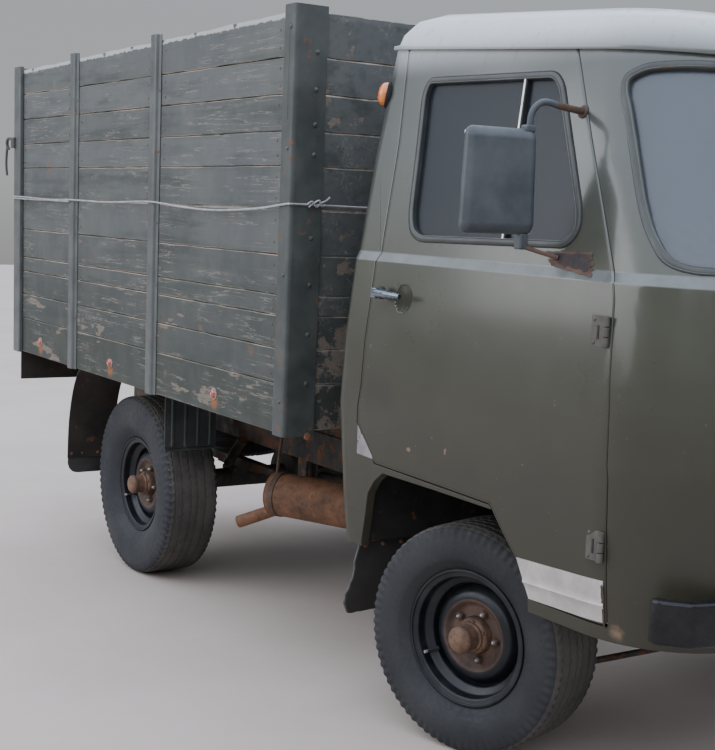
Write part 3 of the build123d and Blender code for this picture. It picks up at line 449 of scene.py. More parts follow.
def mat_glass(name, tint, alpha, dusty, ior=1.5, haze=0.02):
    """thin pane: dark and mostly clear, with a film of dust towards its lower edge"""
    m = Mat(name)
    a = m.noise(3, 5, 0.6)
    b = m.noise(40, 4, 0.6)
    low = m.step(m.z, 1.66, 1.49)
    dust = m.op("MULTIPLY", m.op("ADD", m.step(m.op("ADD", a, m.op("MULTIPLY", b, 0.25)), 0.45, 0.95, 0.15, 0.7), m.op("MULTIPLY", low, m.step(b, 0.3, 0.7, 0.1, 0.8))), dusty)
    col = m.mix(dust, tint, (0.20, 0.195, 0.19))
    al = m.op("ADD", m.op("MULTIPLY", dust, 0.6), alpha, clamp=True)
    m.b.inputs["IOR"].default_value = ior
    m.link(al, m.b.inputs["Alpha"])
    rough = m.step(dust, 0.0, 0.3, haze, haze + 0.08)
    return m.done(col, rough, spec=0.5)


def mat_lens(name, a1, a2, alpha=1.0, rings=500.0):
    m = Mat(name)
    rib = m.node("ShaderNodeTexWave", wave_type="BANDS", bands_direction="X")
    m.link(m.lc, rib.inputs["Vector"])
    rib.inputs["Scale"].default_value = rings / 20
    rib.inputs["Distortion"].default_value = 0.3
    col = m.mix(m.noise(24, 4), a1, a2)
    if alpha < 1.0:
        m.b.inputs["Alpha"].default_value = alpha
    return m.done(col, m.step(m.noise(60, 3), 0.3, 0.7, 0.08, 0.22), m.bump(rib.outputs["Fac"], 0.0015, 0.5), coat=0.8, coat_rough=0.05)


def mat_metal(name, dark, light, rough=(0.18, 0.40), rust=0.0, metallic=1.0, bump=0.0005):
    m = Mat(name)
    a = m.noise(16, 6, 0.66)
    b = m.noise(140, 4, 0.6)
    col = m.mix(m.step(a, 0.3, 0.7), dark, light)
    rr = m.step(b, 0.25, 0.75, *rough)
    met = metallic
    if rust:
        k = m.step(m.op("ADD", a, m.op("MULTIPLY", b, 0.3)), 0.98 - rust, 1.06 - rust)
        col = m.mix(k, col, RUST_L)
        rr = m.op("ADD", rr, m.op("MULTIPLY", k, 0.4), clamp=True)
        met = m.op("MULTIPLY", m.op("SUBTRACT", 1.0, k), metallic)
    return m.done(col, rr, m.bump(b, bump, 0.5), metallic=met)


def mat_vinyl():
    m = Mat("seat_vinyl")
    cells = m.voronoi(260)
    a = m.noise(7, 5, 0.6)
    col = m.mix(m.step(a, 0.3, 0.7), (0.042, 0.034, 0.026), (0.082, 0.066, 0.050))
    rough = m.step(m.noise(12, 4), 0.3, 0.7, 0.34, 0.58)
    return m.done(col, rough, m.bump(m.op("ADD", cells, m.op("MULTIPLY", a, 0.4)), 0.0009, 0.6), sheen=0.1)


def mat_core():
    m = Mat("radiator_core")
    w = m.node("ShaderNodeTexWave", wave_type="BANDS", bands_direction="Z")
    m.link(m.lc, w.inputs["Vector"])
    w.inputs["Scale"].default_value = 60
    col = m.mix(m.step(m.noise(8, 5), 0.35, 0.7), (0.020, 0.020, 0.021), (0.085, 0.080, 0.072))
    return m.done(col, m.step(m.noise(30, 3), 0.3, 0.7, 0.45, 0.75), m.bump(w.outputs["Fac"], 0.004, 0.8), metallic=0.5)


MT = {
    "cab_paint": mat_cab(),
    "bed_planks": mat_planks(),
    "edge_wood": mat_edge_wood(),
    "bed_steel": mat_steel("bed_steel", (0.060, 0.066, 0.066), (0.094, 0.102, 0.102), 0.17, (0.34, 0.52)),
    # bed_steel_dark is a darker copy of bed_steel; on the bed's front corner it stands for painted shade
    "bed_steel_dark": mat_steel("bed_steel_dark", (0.034, 0.040, 0.038), (0.060, 0.067, 0.064), 0.20, (0.42, 0.62)),
    "frame_black": mat_steel("frame_black", (0.018, 0.018, 0.017), (0.050, 0.046, 0.042), 0.30, (0.5, 0.75)),
    "bumper_black": mat_gloss("bumper_black", (0.004, 0.004, 0.005), (0.009, 0.009, 0.011), (0.20, 0.32), 0.0, 0.01, 0.28),
    "rusty_steel": mat_rusty("rusty_steel"),
    "rusty_dark": mat_rusty("rusty_dark", (0.040, 0.024, 0.018), (0.105, 0.060, 0.040)),
    "cast_iron": mat_rusty("cast_iron", (0.032, 0.030, 0.028), (0.085, 0.072, 0.060)),
    "radiator_core": mat_core(),
    "floor_steel": mat_steel("floor_steel", (0.055, 0.056, 0.044), (0.085, 0.084, 0.066), 0.24, (0.5, 0.75)),
    "black_rubber": mat_tyre("black_rubber", (0.10, 0.09, 0.08), 0.35, (0.014, 0.014, 0.015)),
    "gasket": mat_tyre("gasket_rubber", (0.07, 0.065, 0.06), 0.30, (0.012, 0.012, 0.013)),
    "tyre_front": mat_tyre("tyre_rubber_front", (0.060, 0.058, 0.056), 0.30, (0.013, 0.014, 0.017)),
    "tyre_rear": mat_tyre("tyre_rubber_rear", (0.070, 0.066, 0.062), 0.35, (0.017, 0.019, 0.023)),
    "tread_rear": mat_tyre("tread_rubber_rear", (0.150, 0.135, 0.122), 0.75, (0.040, 0.038, 0.036)),
    "tread_front": mat_tyre("tread_rubber_front", (0.120, 0.108, 0.096), 0.65, (0.032, 0.031, 0.030)),
    "rim_black": mat_gloss("rim_black", (0.005, 0.006, 0.009), (0.010, 0.012, 0.016), (0.34, 0.48), 0.0, 0.02, 0.35),
    "hub_rust": mat_rusty("hub_rust", (0.050, 0.026, 0.016), (0.17, 0.095, 0.058), 2.0),
    "glass": mat_glass("glass", (0.034, 0.046, 0.064), 0.80, 0.05, 1.8, 0.29),
    "door_glass": mat_glass("door_glass", (0.012, 0.016, 0.023), 0.80, 0.03, 1.36, 0.28),
    "guard_dark": mat_steel("guard_dark", (0.014, 0.012, 0.012), (0.036, 0.026, 0.022), 0.19, (0.5, 0.75)),
    "guard_green": mat_steel("guard_green", (0.020, 0.026, 0.026), (0.040, 0.048, 0.048), 0.20, (0.35, 0.6)),
    "well_dark": mat_steel("well_dark", (0.010, 0.010, 0.010), (0.022, 0.021, 0.019), 0.20, (0.6, 0.8)),
    "red_orange": mat_lens("red_orange_lens", (0.30, 0.032, 0.010), (0.42, 0.062, 0.018)),
    "seal": mat_gloss("window_seal", (0.026, 0.029, 0.027), (0.042, 0.046, 0.042), (0.30, 0.45), 0.0, 0.02),
    "handle_steel": mat_metal("handle_steel", (0.13, 0.15, 0.18), (0.26, 0.29, 0.33), (0.16, 0.30), 0.05),
    "hinge_paint": mat_steel("hinge_paint", (0.050, 0.047, 0.038), (0.085, 0.080, 0.068), 0.22, (0.45, 0.65), 4.0),
    "scorched": mat_rusty("scorched_steel", (0.012, 0.012, 0.018), (0.050, 0.030, 0.024), 2.5),
    "seat_vinyl": mat_vinyl(),
    "dark_plastic": mat_gloss("dark_plastic", (0.038, 0.046, 0.054), (0.058, 0.069, 0.080), (0.34, 0.48), 0.0, 0.03),
    "gloss_black": mat_gloss("gloss_black", (0.012, 0.012, 0.012), (0.026, 0.026, 0.025), (0.20, 0.36), 0.2),
    "mirror_glass": mat_metal("mirror_glass", (0.55, 0.58, 0.60), (0.68, 0.70, 0.71), (0.02, 0.08), 0.0, 1.0, 0.0001),
    "chrome": mat_metal("chrome", (0.50, 0.49, 0.47), (0.68, 0.67, 0.65), (0.14, 0.34), 0.24),
    "alu": mat_metal("bare_aluminium", (0.46, 0.43, 0.42), (0.60, 0.57, 0.56), (0.34, 0.52), 0.12, 0.7, 0.0008),
    "lamp_glass": mat_lens("lamp_glass", (0.70, 0.72, 0.72), (0.82, 0.84, 0.84), 0.55),
    "reflector": mat_metal("lamp_reflector", (0.62, 0.63, 0.64), (0.80, 0.80, 0.80), (0.08, 0.20)),
    "amber_lens": mat_lens("amber_lens", (0.62, 0.135, 0.018), (0.80, 0.24, 0.035)),
    "red_lens": mat_lens("red_lens", (0.22, 0.012, 0.010), (0.34, 0.022, 0.016)),
    "wire_steel": mat_metal("wire_steel", (0.30, 0.30, 0.31), (0.50, 0.50, 0.50), (0.34, 0.6), 0.16, 0.6),
    "flap_pale": mat_steel("flap_pale", (0.16, 0.15, 0.16), (0.30, 0.28, 0.29), 0.24, (0.6, 0.85)),
}


# ------------------------------------------------------------------ geometry, in level millimetres
def from_bm(bm):
    bm.verts.index_update()
    g = ([v.co.copy() for v in bm.verts], [[v.index for v in f.verts] for f in bm.faces])
    bm.free()
    return g


def round_edges(bm, width, seg=2, angle=30.0, clamp=True, also=None):
    edges = [e for e in bm.edges if len(e.link_faces) == 2 and (e.calc_face_angle(0.0) > math.radians(angle) or (also and also(e)))]
    if edges and width > 0:
        bmesh.ops.bevel(bm, geom=edges, offset=width, offset_type="OFFSET", segments=seg, profile=0.5, affect="EDGES", clamp_overlap=clamp)


def g_box(x0, x1, y0, y1, z0, z1, bev=3.0, seg=2):
    bm = bmesh.new()
    bmesh.ops.create_cube(bm, size=1.0)
    for v in bm.verts:
        v.co = Vector((x0 + (v.co.x + 0.5) * (x1 - x0), y0 + (v.co.y + 0.5) * (y1 - y0), z0 + (v.co.z + 0.5) * (z1 - z0)))
    round_edges(bm, bev, seg)
    return from_bm(bm)


def g_prism(pts, axis, a, b, bev=2.0, seg=2, angle=30.0):
    """a flat outline pushed along an axis: 'x' takes (y, z), 'y' takes (x, z), 'z' takes (x, y)"""
    bm = bmesh.new()
    put = {"x": lambda p, t: (t, p[0], p[1]), "y": lambda p, t: (p[0], t, p[1]), "z": lambda p, t: (p[0], p[1], t)}[axis]
    lo = [bm.verts.new(put(p, a)) for p in pts]
    hi = [bm.verts.new(put(p, b)) for p in pts]
    n = len(pts)
    bm.faces.new(lo[::-1])
    bm.faces.new(hi)
    for i in range(n):
        bm.faces.new((lo[i], lo[(i + 1) % n], hi[(i + 1) % n], hi[i]))
    bmesh.ops.recalc_face_normals(bm, faces=bm.faces)
    round_edges(bm, bev, seg, angle)
    return from_bm(bm)


def frames(path, closed=False, up=None):
    """tangent and side vectors along a path"""
    n = len(path)
    out = []
    last = None
    for i in range(n):
        a = path[i - 1] if (closed or i) else path[i]
        b = path[(i + 1) % n] if (closed or i < n - 1) else path[i]
        t = (b - a).normalized()
        if last is None:
            ref = up or (Vector((0, 0, 1)) if abs(t.z) < 0.9 else Vector((1, 0, 0)))
        else:
            ref = last
        s = (ref - t * ref.dot(t)).normalized()
        last = s
        out.append((t, s, t.cross(s)))
    return out


def g_tube(path, r, n=12, closed=False, squash=1.0, up=None):
    path = [Vector(p) for p in path]
    fr = frames(path, closed, up)
    rs = r if isinstance(r, (list, tuple)) else [r] * len(path)
    vs, fs = [], []
    for p, (t, s, b), q in zip(path, fr, rs):
        for k in range(n):
            a = 2 * math.pi * k / n
            vs.append(p + s * (q * math.cos(a) * squash) + b * (q * math.sin(a)))
    m = len(path)
    for i in range(m if closed else m - 1):
        j = (i + 1) % m
        for k in range(n):
            l = (k + 1) % n
            fs.append([i * n + k, i * n + l, j * n + l, j * n + k])
    if not closed:
        fs.append(list(range(n))[::-1])
        fs.append([(m - 1) * n + k for k in range(n)])
    return vs, fs


def g_ribbon(path, normals, section, closed=False):
    """section: (across, out) points, swept along a path that lies on a surface"""
    n, m = len(section), len(path)
    vs, fs = [], []
    for i in range(m):
        a = path[i - 1] if (closed or i) else path[i]
        b = path[(i + 1) % m] if (closed or i < m - 1) else path[i]
        t = (b - a).normalized()
        nn = (normals[i] - t * normals[i].dot(t)).normalized()
        side = t.cross(nn)
        for u, o in section:
            vs.append(path[i] + side * u + nn * o)
    for i in range(m if closed else m - 1):
        j = (i + 1) % m
        for k in range(n):
            l = (k + 1) % n
            fs.append([i * n + k, i * n + l, j * n + l, j * n + k])
    if not closed:
        fs.append(list(range(n))[::-1])
        fs.append([(m - 1) * n + k for k in range(n)])
    return vs, fs


def g_turn(profile, n=48, closed=False, wobble=None):
    """profile (u, r) turned about the X axis at the origin; u along X"""
    vs, fs = [], []
    m = len(profile)
    for k in range(n):
        a = 2 * math.pi * k / n
        for j, (u, r) in enumerate(profile):
            q = r + (wobble(j, a) if wobble else 0.0)
            vs.append(Vector((u, q * math.sin(a), q * math.cos(a))))
    for k in range(n):
        l = (k + 1) % n
        for j in range(m if closed else m - 1):
            i = (j + 1) % m
            fs.append([k * m + j, k * m + i, l * m + i, l * m + j])
    bm = bmesh.new()
    bv = [bm.verts.new(v) for v in vs]
    for f in fs:
        try:
            bm.faces.new([bv[i] for i in f])
        except ValueError:
            pass
    bmesh.ops.remove_doubles(bm, verts=bm.verts, dist=0.01)
    return from_bm(bm)


def turned(profile, place, towards, n=32, closed=False):
    """profile turned about a line from a place towards a direction"""
    d = Vector(towards).normalized()
    q = Vector((1, 0, 0)).rotation_difference(d).to_matrix()
    vs, fs = g_turn(profile, n, closed)
    return [q @ v + Vector(place) for v in vs], fs


def bolt(place, towards, r=8.0, h=6.0, dome=False):
    if dome:
        return turned([(-3, 0), (-3, r), (0, r), (h * 0.45, r * 0.86), (h * 0.85, r * 0.5), (h, 0)], place, towards, 14)
    return turned([(-3, 0), (-3, r), (h * 0.8, r), (h, r * 0.8), (h, 0)], place, towards, 6)


def moved(g, mat):
    return [mat @ v for v in g[0]], g[1]


def mirrored(g):
    return [Vector((-v.x, v.y, v.z)) for v in g[0]], [f[::-1] for f in g[1]]


def round_poly(pts, radius, n=5, closed=True):
    """outline with rounded corners"""
    out = []
    m = len(pts)
    for i in range(m):
        P = Vector(pts[i])
        if not closed and i in (0, m - 1):
            out.append(P)
            continue
        A, C = Vector(pts[i - 1]) - P, Vector(pts[(i + 1) % m]) - P
        k = radius[i] if isinstance(radius, (list, tuple)) else radius
        cut = min(k, A.length * 0.48, C.length * 0.48)
        a, c = P + A.normalized() * cut, P + C.normalized() * cut
        for j in range(n + 1):
            t = j / n
            out.append(a * (1 - t) ** 2 + P * (2 * t * (1 - t)) + c * t ** 2)
    return out


def dense(pts, step, closed=True):
    out = []
    m = len(pts)
    for i in range(m if closed else m - 1):
        a, b = pts[i], pts[(i + 1) % m]
        k = max(1, int((b - a).length / step))
        for j in range(k):
            out.append(a + (b - a) * (j / k))
    if not closed:
        out.append(pts[-1])
    return out


def catmull(pts, n=8):
    pts = [Vector(p) for p in pts]
    out = []
    for i in range(len(pts) - 1):
        p0, p1, p2, p3 = pts[max(i - 1, 0)], pts[i], pts[i + 1], pts[min(i + 2, len(pts) - 1)]
        for j in range(n):
            t = j / n
            out.append(0.5 * (2 * p1 + (p2 - p0) * t + (2 * p0 - 5 * p1 + 4 * p2 - p3) * t * t + (3 * p1 - p0 - 3 * p2 + p3) * t ** 3))
    out.append(pts[-1])
    return out


def shade(me, angle):
    bm = bmesh.new()
    bm.from_mesh(me)
    bmesh.ops.recalc_face_normals(bm, faces=bm.faces)
    for f in bm.faces:
        f.smooth = True
    lim = math.radians(angle)
    for e in bm.edges:
        e.smooth = not (len(e.link_faces) == 2 and e.calc_face_angle(0.0) > lim)
    bm.to_mesh(me)
    bm.free()


class Piece:
    def __init__(self, name, body, slot, *mats, angle=48.0, weighted=True):
        self.name, self.body, self.slot, self.mats = name, body, slot, [MT[k] for k in mats]
        self.angle, self.weighted = angle, weighted
        self.v, self.f, self.mi = [], [], []

    def add(self, g, mi=0, both=False):
        o = len(self.v)
        self.v += list(g[0])
        self.f += [[i + o for i in f] for f in g[1]]
        self.mi += (list(mi) if isinstance(mi, (list, tuple)) else [mi] * len(g[1]))
        if both:
            self.add(mirrored(g), mi)
        return self

    def done(self, *replaces):
        me = bpy.data.meshes.new(self.name)
        me.from_pydata([LM @ Vector(v) for v in self.v], [], self.f)
        for mt in self.mats:
            me.materials.append(mt)
        me.polygons.foreach_set("material_index", self.mi)
        shade(me, self.angle)
        ob = bpy.data.objects.new(self.name, me)
        bpy.context.scene.collection.objects.link(ob)
        if self.weighted:
            w = ob.modifiers.new("normals", "WEIGHTED_NORMAL")
            w.keep_sharp = True
        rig.ride(ob, self.body)
        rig.slot(ob, self.slot)
        if replaces:
            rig.replaces(ob, *replaces)
        return ob


INV = LM.inverted()


def on_belt(e):
    """the two edges of the shoulder that runs round the cab under the windows"""
    if e.calc_face_angle(0.0) < math.radians(6.0):
        return False
    za, zb = [(INV @ v.co).z for v in e.verts]
    return any(abs(za - z) < 3.0 and abs(zb - z) < 3.0 for z in (1430.0, 1455.0))


def refine(node, mat, slot=None, bev=2.0, seg=2, angle=30.0, clamp=False, also=None):
    """the CAD piece again with its flat faces joined, its edges rounded and its curves smooth"""
    src = NODES[node]
    bm = bmesh.new()
    bm.from_mesh(src.data)
    bmesh.ops.remove_doubles(bm, verts=bm.verts, dist=2e-5)
    bmesh.ops.dissolve_limit(bm, angle_limit=math.radians(0.6), verts=bm.verts, edges=bm.edges)
    if bev:
        round_edges(bm, bev / 1000.0, seg, angle, clamp, also)
    me = bpy.data.meshes.new(node + "_skin")
    bm.to_mesh(me)
    bm.free()
    me.materials.clear()
    for k in (mat if isinstance(mat, (list, tuple)) else [mat]):
        me.materials.append(MT[k])
    for p in me.polygons:
        p.material_index = 0
    shade(me, 40.0)
    ob = bpy.data.objects.new(node + "_skin", me)
    bpy.context.scene.collection.objects.link(ob)
    w = ob.modifiers.new("normals", "WEIGHTED_NORMAL")
    w.keep_sharp = True
    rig.ride(ob, src["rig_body"])
    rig.slot(ob, slot or (mat if isinstance(mat, str) else mat[0]))
    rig.replaces(ob, node)
    return ob


# ------------------------------------------------------------------ the cab's outer skin, to lay trim on
# columns: z at the nose, half width at the rear, half width at the nose, y of the rear, y of the nose, nose corner radius,
#          bow, rise to the rear in degrees
CAB = [(560, 922.4, 884, -740, -2120, 290, 20, 0.0), (700, 941.4, 903, -740, -2150, 300, 22, 0.0),
       (1000, 967.4, 930, -740, -2175, 300, 28, 0.0), (1200, 957.3, 922, -740, -2178, 300, 32, 0.0),
       (1430, 931.2, 898, -740, -2168, 300, 38, 0.0), (1455, 919.2, 887, -741, -2150, 300, 42, 0.0),
       (1740, 857.5, 818, -714, -2004, 290, 40, 0.0), (1990, 791.0, 757, -708, -1876, 272, 36, 3.8),
       (2030, 776.0, 742, -714, -1850, 262, 35, 3.8), (2076, 738.0, 705, -735, -1812, 245, 33, 3.8),
       (2108, 668.0, 634, -780, -1736, 215, 29, 3.8), (2127, 540.0, 506, -875, -1606, 178, 24, 3.8),
       (2137, 330.0, 300, -1080, -1420, 150, 10, 3.8)]


def cab_ring(row, na=10, nl=14):
    z, wr, wn, yr, yn, rn, bow, tilt = row
    pts = [Vector((wr, yr)), Vector((-wr, yr)), Vector((-wn, yn)), Vector((0, yn - bow)), Vector((wn, yn))]
    rad = [70, 70, rn, 2200, rn]
    arcs = []
    for i in range(5):
        P = pts[i]
        a, c = (pts[i - 1] - P).normalized(), (pts[(i + 1) % 5] - P).normalized()
        half = math.acos(max(-1.0, min(1.0, a.dot(c)))) / 2
        t = rad[i] / math.tan(half)
        bis = (a + c).normalized()
        cen = P + bis * (rad[i] / math.sin(half))
        s, e = P + a * t - cen, P + c * t - cen
        a0, da = math.atan2(s.y, s.x), s.angle_signed(e)
        arc = []
        for k in range(na + 1):
            q = a0 - da * k / na
            arc.append(cen + Vector((math.cos(q), math.sin(q))) * rad[i])
        arcs.append(arc)
    out = []
    for i in range(5):
        out += arcs[i]
        e, s = arcs[i][-1], arcs[(i + 1) % 5][0]
        out += [e + (s - e) * (k / nl) for k in range(1, nl)]
    c, s = math.cos(math.radians(tilt)), math.sin(math.radians(tilt))
    return [Vector((p.x, yn + (p.y - yn) * c, z + (p.y - yn) * s)) for p in out]


def build_skin():
    rings = []
    for a, b in zip(CAB[:-1], CAB[1:]):
        ra, rb = cab_ring(a), cab_ring(b)
        for k in range(3):
            rings.append([p.lerp(q, k / 3) for p, q in zip(ra, rb)])
    rings.append(cab_ring(CAB[-1]))
    n = len(rings[0])
    vs = [p for r in rings for p in r]
    fs = []
    for i in range(len(rings) - 1):
        for k in range(n):
            l = (k + 1) % n
            fs.append([i * n + k, i * n + l, (i + 1) * n + l, (i + 1) * n + k])
    return BVHTree.FromPolygons(vs, fs)


SKIN = build_skin()


def head(y):
    """height of the drip rail"""
    return 1986.0 + 0.0682 * (y + 1862.0)


def bed_top(y):
    return 2160.0 + 28.0 * (2196.0 - y) / 2666.0


def cast(o, d):
    d = Vector(d).normalized()
    p, n, i, dist = SKIN.ray_cast(Vector(o), d)
    if p is None:
        return None
    if n.dot(d) > 0:
        n = -n
    return p, n


def side(y, z, s=-1):
    return cast((s * 3000, y, z), (-s, 0, 0))


def on_side(yz, s=-1, lift=0.0):
    """points and normals on the cab's side for (y, z) pairs"""
    P, N = [], []
    for y, z in yz:
        h = side(y, z, s)
        if h:
            P.append(h[0] + h[1] * lift)
            N.append(h[1])
    return P, N


# ------------------------------------------------------------------ camera
def make_camera():
    loc = Vector((-3150.563, -4285.364, 1573.571))
    yaw, pitch, roll = -0.5765780, 0.1470509, 0.0419535
    fwd = Vector((-math.sin(yaw) * math.cos(pitch), math.cos(yaw) * math.cos(pitch), -math.sin(pitch)))
    right = Vector((math.cos(yaw), math.sin(yaw), 0))
    up = right.cross(fwd)
    c, s = math.cos(roll), math.sin(roll)
    r2, u2 = right * c + up * s, up * c - right * s
    R = Matrix((r2, u2, -fwd)).transposed()
    cam = bpy.data.objects.new("camera", bpy.data.cameras.new("camera"))
    cam.matrix_world = Matrix.Translation(LM @ loc) @ (LR @ R).to_4x4()
    d = cam.data
    d.sensor_fit = "AUTO"
    d.sensor_width = 36.0
    d.lens = 1367.5152 / 750.0 * 36.0
    d.shift_x = (357.5 - 363.99) / 750.0
    d.shift_y = (413.792 - 375.0) / 750.0
    d.clip_end = 200.0
    bpy.context.scene.collection.objects.link(cam)
    bpy.context.scene.camera = cam


make_camera()


# ------------------------------------------------------------------ floor and light
def make_stage():
    m = Mat("floor")
    a = m.noise(1.3, 4, 0.6)
    col = m.mix(m.step(a, 0.3, 0.7), (0.45, 0.385, 0.345), (0.49, 0.420, 0.380))
    mt = m.done(col, m.step(m.noise(30, 3), 0.3, 0.7, 0.72, 0.86), m.bump(m.noise(60, 3), 0.001, 0.2), spec=0.2)
    me = bpy.data.meshes.new("floor")
    s = 45.0
    me.from_pydata([(-s, -s, 0), (s, -s, 0), (s, s, 0), (-s, s, 0)], [], [(0, 1, 2, 3)])
    me.materials.append(mt)
    ob = bpy.data.objects.new("floor", me)
    bpy.context.scene.collection.objects.link(ob)
    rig.stage(ob)

    def area(name, loc, target, size, power, color):
        l = bpy.data.lights.new(name, "AREA")
        l.shape, l.size, l.size_y, l.energy, l.color = "RECTANGLE", size[0], size[1], power, color
        o = bpy.data.objects.new(name, l)
        o.location = loc
        o.rotation_euler = (Vector(target) - Vector(loc)).to_track_quat("-Z", "Y").to_euler()
        bpy.context.scene.collection.objects.link(o)

    area("sky_panel", (-1.5, -1.0, 7.5), (0, 0, 1), (9, 9), 50, (0.93, 0.97, 1.0))
    area("front_panel", (-5.5, -7.0, 4.6), (0, -1.0, 1.1), (6, 4), 90, (0.96, 0.98, 1.0))
    area("side_panel", (-7.0, 2.5, 3.6), (0, 0.6, 1.3), (6, 3.5), 230, (0.95, 0.97, 1.0))

    w = bpy.data.worlds.new("sky")
    bpy.context.scene.world = w
    w.use_nodes = True
    t = w.node_tree
    bg = t.nodes["Background"]
    tc = t.nodes.new("ShaderNodeTexCoord")
    sp = t.nodes.new("ShaderNodeSeparateXYZ")
    t.links.new(tc.outputs["Generated"], sp.inputs[0])
    rp = t.nodes.new("ShaderNodeValToRGB")
    mr = t.nodes.new("ShaderNodeMapRange")
    mr.inputs["From Min"].default_value = -1.0
    t.links.new(sp.outputs["Z"], mr.inputs["Value"])
    t.links.new(mr.outputs["Result"], rp.inputs[0])
    el = rp.color_ramp.elements
    el[0].position, el[0].color = 0.45, (0.42, 0.40, 0.38, 1)
    el[1].position, el[1].color = 1.0, (0.72, 0.82, 1.0, 1)
    e = el.new(0.52)
    e.color = (0.86, 0.87, 0.88, 1)
    e = el.new(0.62)
    e.color = (0.80, 0.86, 0.94, 1)
    t.links.new(rp.outputs["Color"], bg.inputs["Color"])
    hi = t.nodes.new("ShaderNodeMapRange")
    hi.interpolation_type = "SMOOTHSTEP"
    for k, v in (("From Min", 0.14), ("From Max", 0.68), ("To Min", 0.50), ("To Max", 2.7)):
        hi.inputs[k].default_value = v
    t.links.new(sp.outputs["Z"], hi.inputs["Value"])
    t.links.new(hi.outputs["Result"], bg.inputs["Strength"])


make_stage()

# ------------------------------------------------------------------ cab panels
for n in ("cab_roof", "cab_front_panel", "cab_back_and_sides", "door_left", "door_right"):
    refine(n, "cab_paint", bev=2.6, seg=2, angle=35, also=on_belt)
for n in ("door_glass_left", "door_glass_right"):
    refine(n, "door_glass", "glass", bev=0)
refine("cab_glass", "glass", bev=0)
for n in ("seat_boxes", "engine_cover"):
    refine(n, "floor_steel", bev=2.5)
for n in ("cab_floor", "foot_wells"):
    refine(n, "well_dark", "floor_steel", bev=2.5)
refine("dashboard", "cab_paint", bev=6, seg=3)
refine("front_bumper", "bumper_black", bev=12, seg=4, clamp=True)
for n, mt, bv in (("frame_rails", "frame_black", 1.5), ("frame_cross_members", "frame_black", 1.5), ("spring_hangers", "frame_black", 1.5),
                  ("tow_fittings", "frame_black", 3.0), ("front_axle", "cast_iron", 4.0), ("rear_axle", "cast_iron", 4.0),
                  ("leaf_springs", "frame_black", 1.2), ("dampers", "frame_black", 1.5), ("engine_block", "cast_iron", 9.0),
                  ("radiator", "radiator_core", 3.0), ("gearbox_and_transfer_case", "cast_iron", 7.0), ("drive_shafts", "cast_iron", 1.5),
                  ("exhaust", "rusty_steel", 2.0), ("fuel_tank", "frame_black", 8.0), ("bed_floor", "bed_planks", 2.5),
                  ("bed_subframe", "frame_black", 3.0), ("knuckle_left", "frame_black", 3.0), ("knuckle_right", "frame_black", 3.0),
                  ("track_rod", "frame_black", 1.0), ("steering_column", "gloss_black", 1.5)):
    refine(n, mt, bev=bv)

# ------------------------------------------------------------------ the planked load body
def g_board(a, b, t0, t1, z0, z1, axis, seed, n=30, c=2.6, rag=2.2):
    """one plank along Y (t is X) or along X (t is Y), with worn edges; faces 0 are painted, 1 are bare edge"""
    vs, fs, mi = [], [], []
    for i in range(n + 1):
        s = a + (b - a) * i / n
        zt = z1(s) if callable(z1) else z1
        w0 = rag * noise.noise(Vector((s / 130.0, seed * 3.1, 0.0)))
        w1 = rag * noise.noise(Vector((s / 110.0, seed * 3.1, 9.0)))
        d = 1.4 * noise.noise(Vector((s / 420.0, seed * 1.7, 5.0)))
        cc = c * (1.0 + 0.7 * noise.noise(Vector((s / 60.0, seed * 2.3, 3.0))))
        sec = [(t0, z0 + cc), (t0 + cc, z0), (t1 - cc, z0), (t1, z0 + cc), (t1, zt - cc), (t1 - cc, zt), (t0 + cc, zt), (t0, zt - cc)]
        for k, (t, z) in enumerate(sec):
            z += w0 if k < 4 else w1
            vs.append(Vector((t + d, s, z)) if axis == "y" else Vector((s, t + d, z)))
    for i in range(n):
        for k in range(8):
            l = (k + 1) % 8
            fs.append([i * 8 + k, i * 8 + l, (i + 1) * 8 + l, (i + 1) * 8 + k])
            mi.append(0 if k in (3, 7) else 1)
    fs += [list(range(8))[::-1], [n * 8 + k for k in range(8)]]
    return (vs, fs), mi + [1, 1]


def boards(name, body, node, maker, extra=None):
    P = Piece(name, body, "bed_planks", "bed_planks", "edge_wood", "bed_steel", "rusty_steel", angle=30)
    for g, mi in maker:
        P.add(g, mi)
    if extra:
        extra(P)
    return P.done(node)


def side_boards(s):
    a, b = s * 942.0, s * 968.0
    t0, t1 = min(a, b), max(a, b)
    out = [g_board(-466, 2186, t0, t1, 840, 1001.5, "y", 40 + s, rag=1.0, c=2.0)]
    for i, (z0, z1) in enumerate(zip(JOINTS[:-2], JOINTS[1:-1])):
        out.append(g_board(-466, 2186, t0, t1, z0 + 1.5, z1 - 1.5, "y", i + (20 if s > 0 else 0)))
    out.append(g_board(-466, 2186, t0, t1, JOINTS[-2] + 1.5, lambda y: bed_top(y) - 2.0, "y", 17 + s, n=60, rag=3.4))
    return out


def nail_heads(P, x, s, ys):
    for z0, z1 in zip(JOINTS[:-1], JOINTS[1:]):
        for y in ys:
            for f in (0.27, 0.73):
                z = z0 + (z1 - z0) * f + random.uniform(-5, 5)
                P.add(bolt((x, y + random.uniform(-3, 3), z), (s, 0, 0), 4.0, 1.4, True), 3)


for s, side_name in ((1, "left"), (-1, "right")):
    boards("side_boards_" + side_name, "chassis", "bed_side_" + side_name, side_boards(s),
           lambda P, s=s: nail_heads(P, s * 968.6, s, (-352, 520, 675, 1362, 1512, 2075)))
front = [g_board(-940, 940, -466, -440, 852, 1001.5, "x", 61, rag=1.0)]
for i, (z0, z1) in enumerate(zip(JOINTS[:-1], JOINTS[1:-1] + (2188,))):
    front.append(g_board(-940, 940, -466, -440, z0 + 1.5, z1 - 1.5, "x", 62 + i, n=40, rag=3.0))
boards("front_wall_boards", "chassis", "bed_front_wall", front)


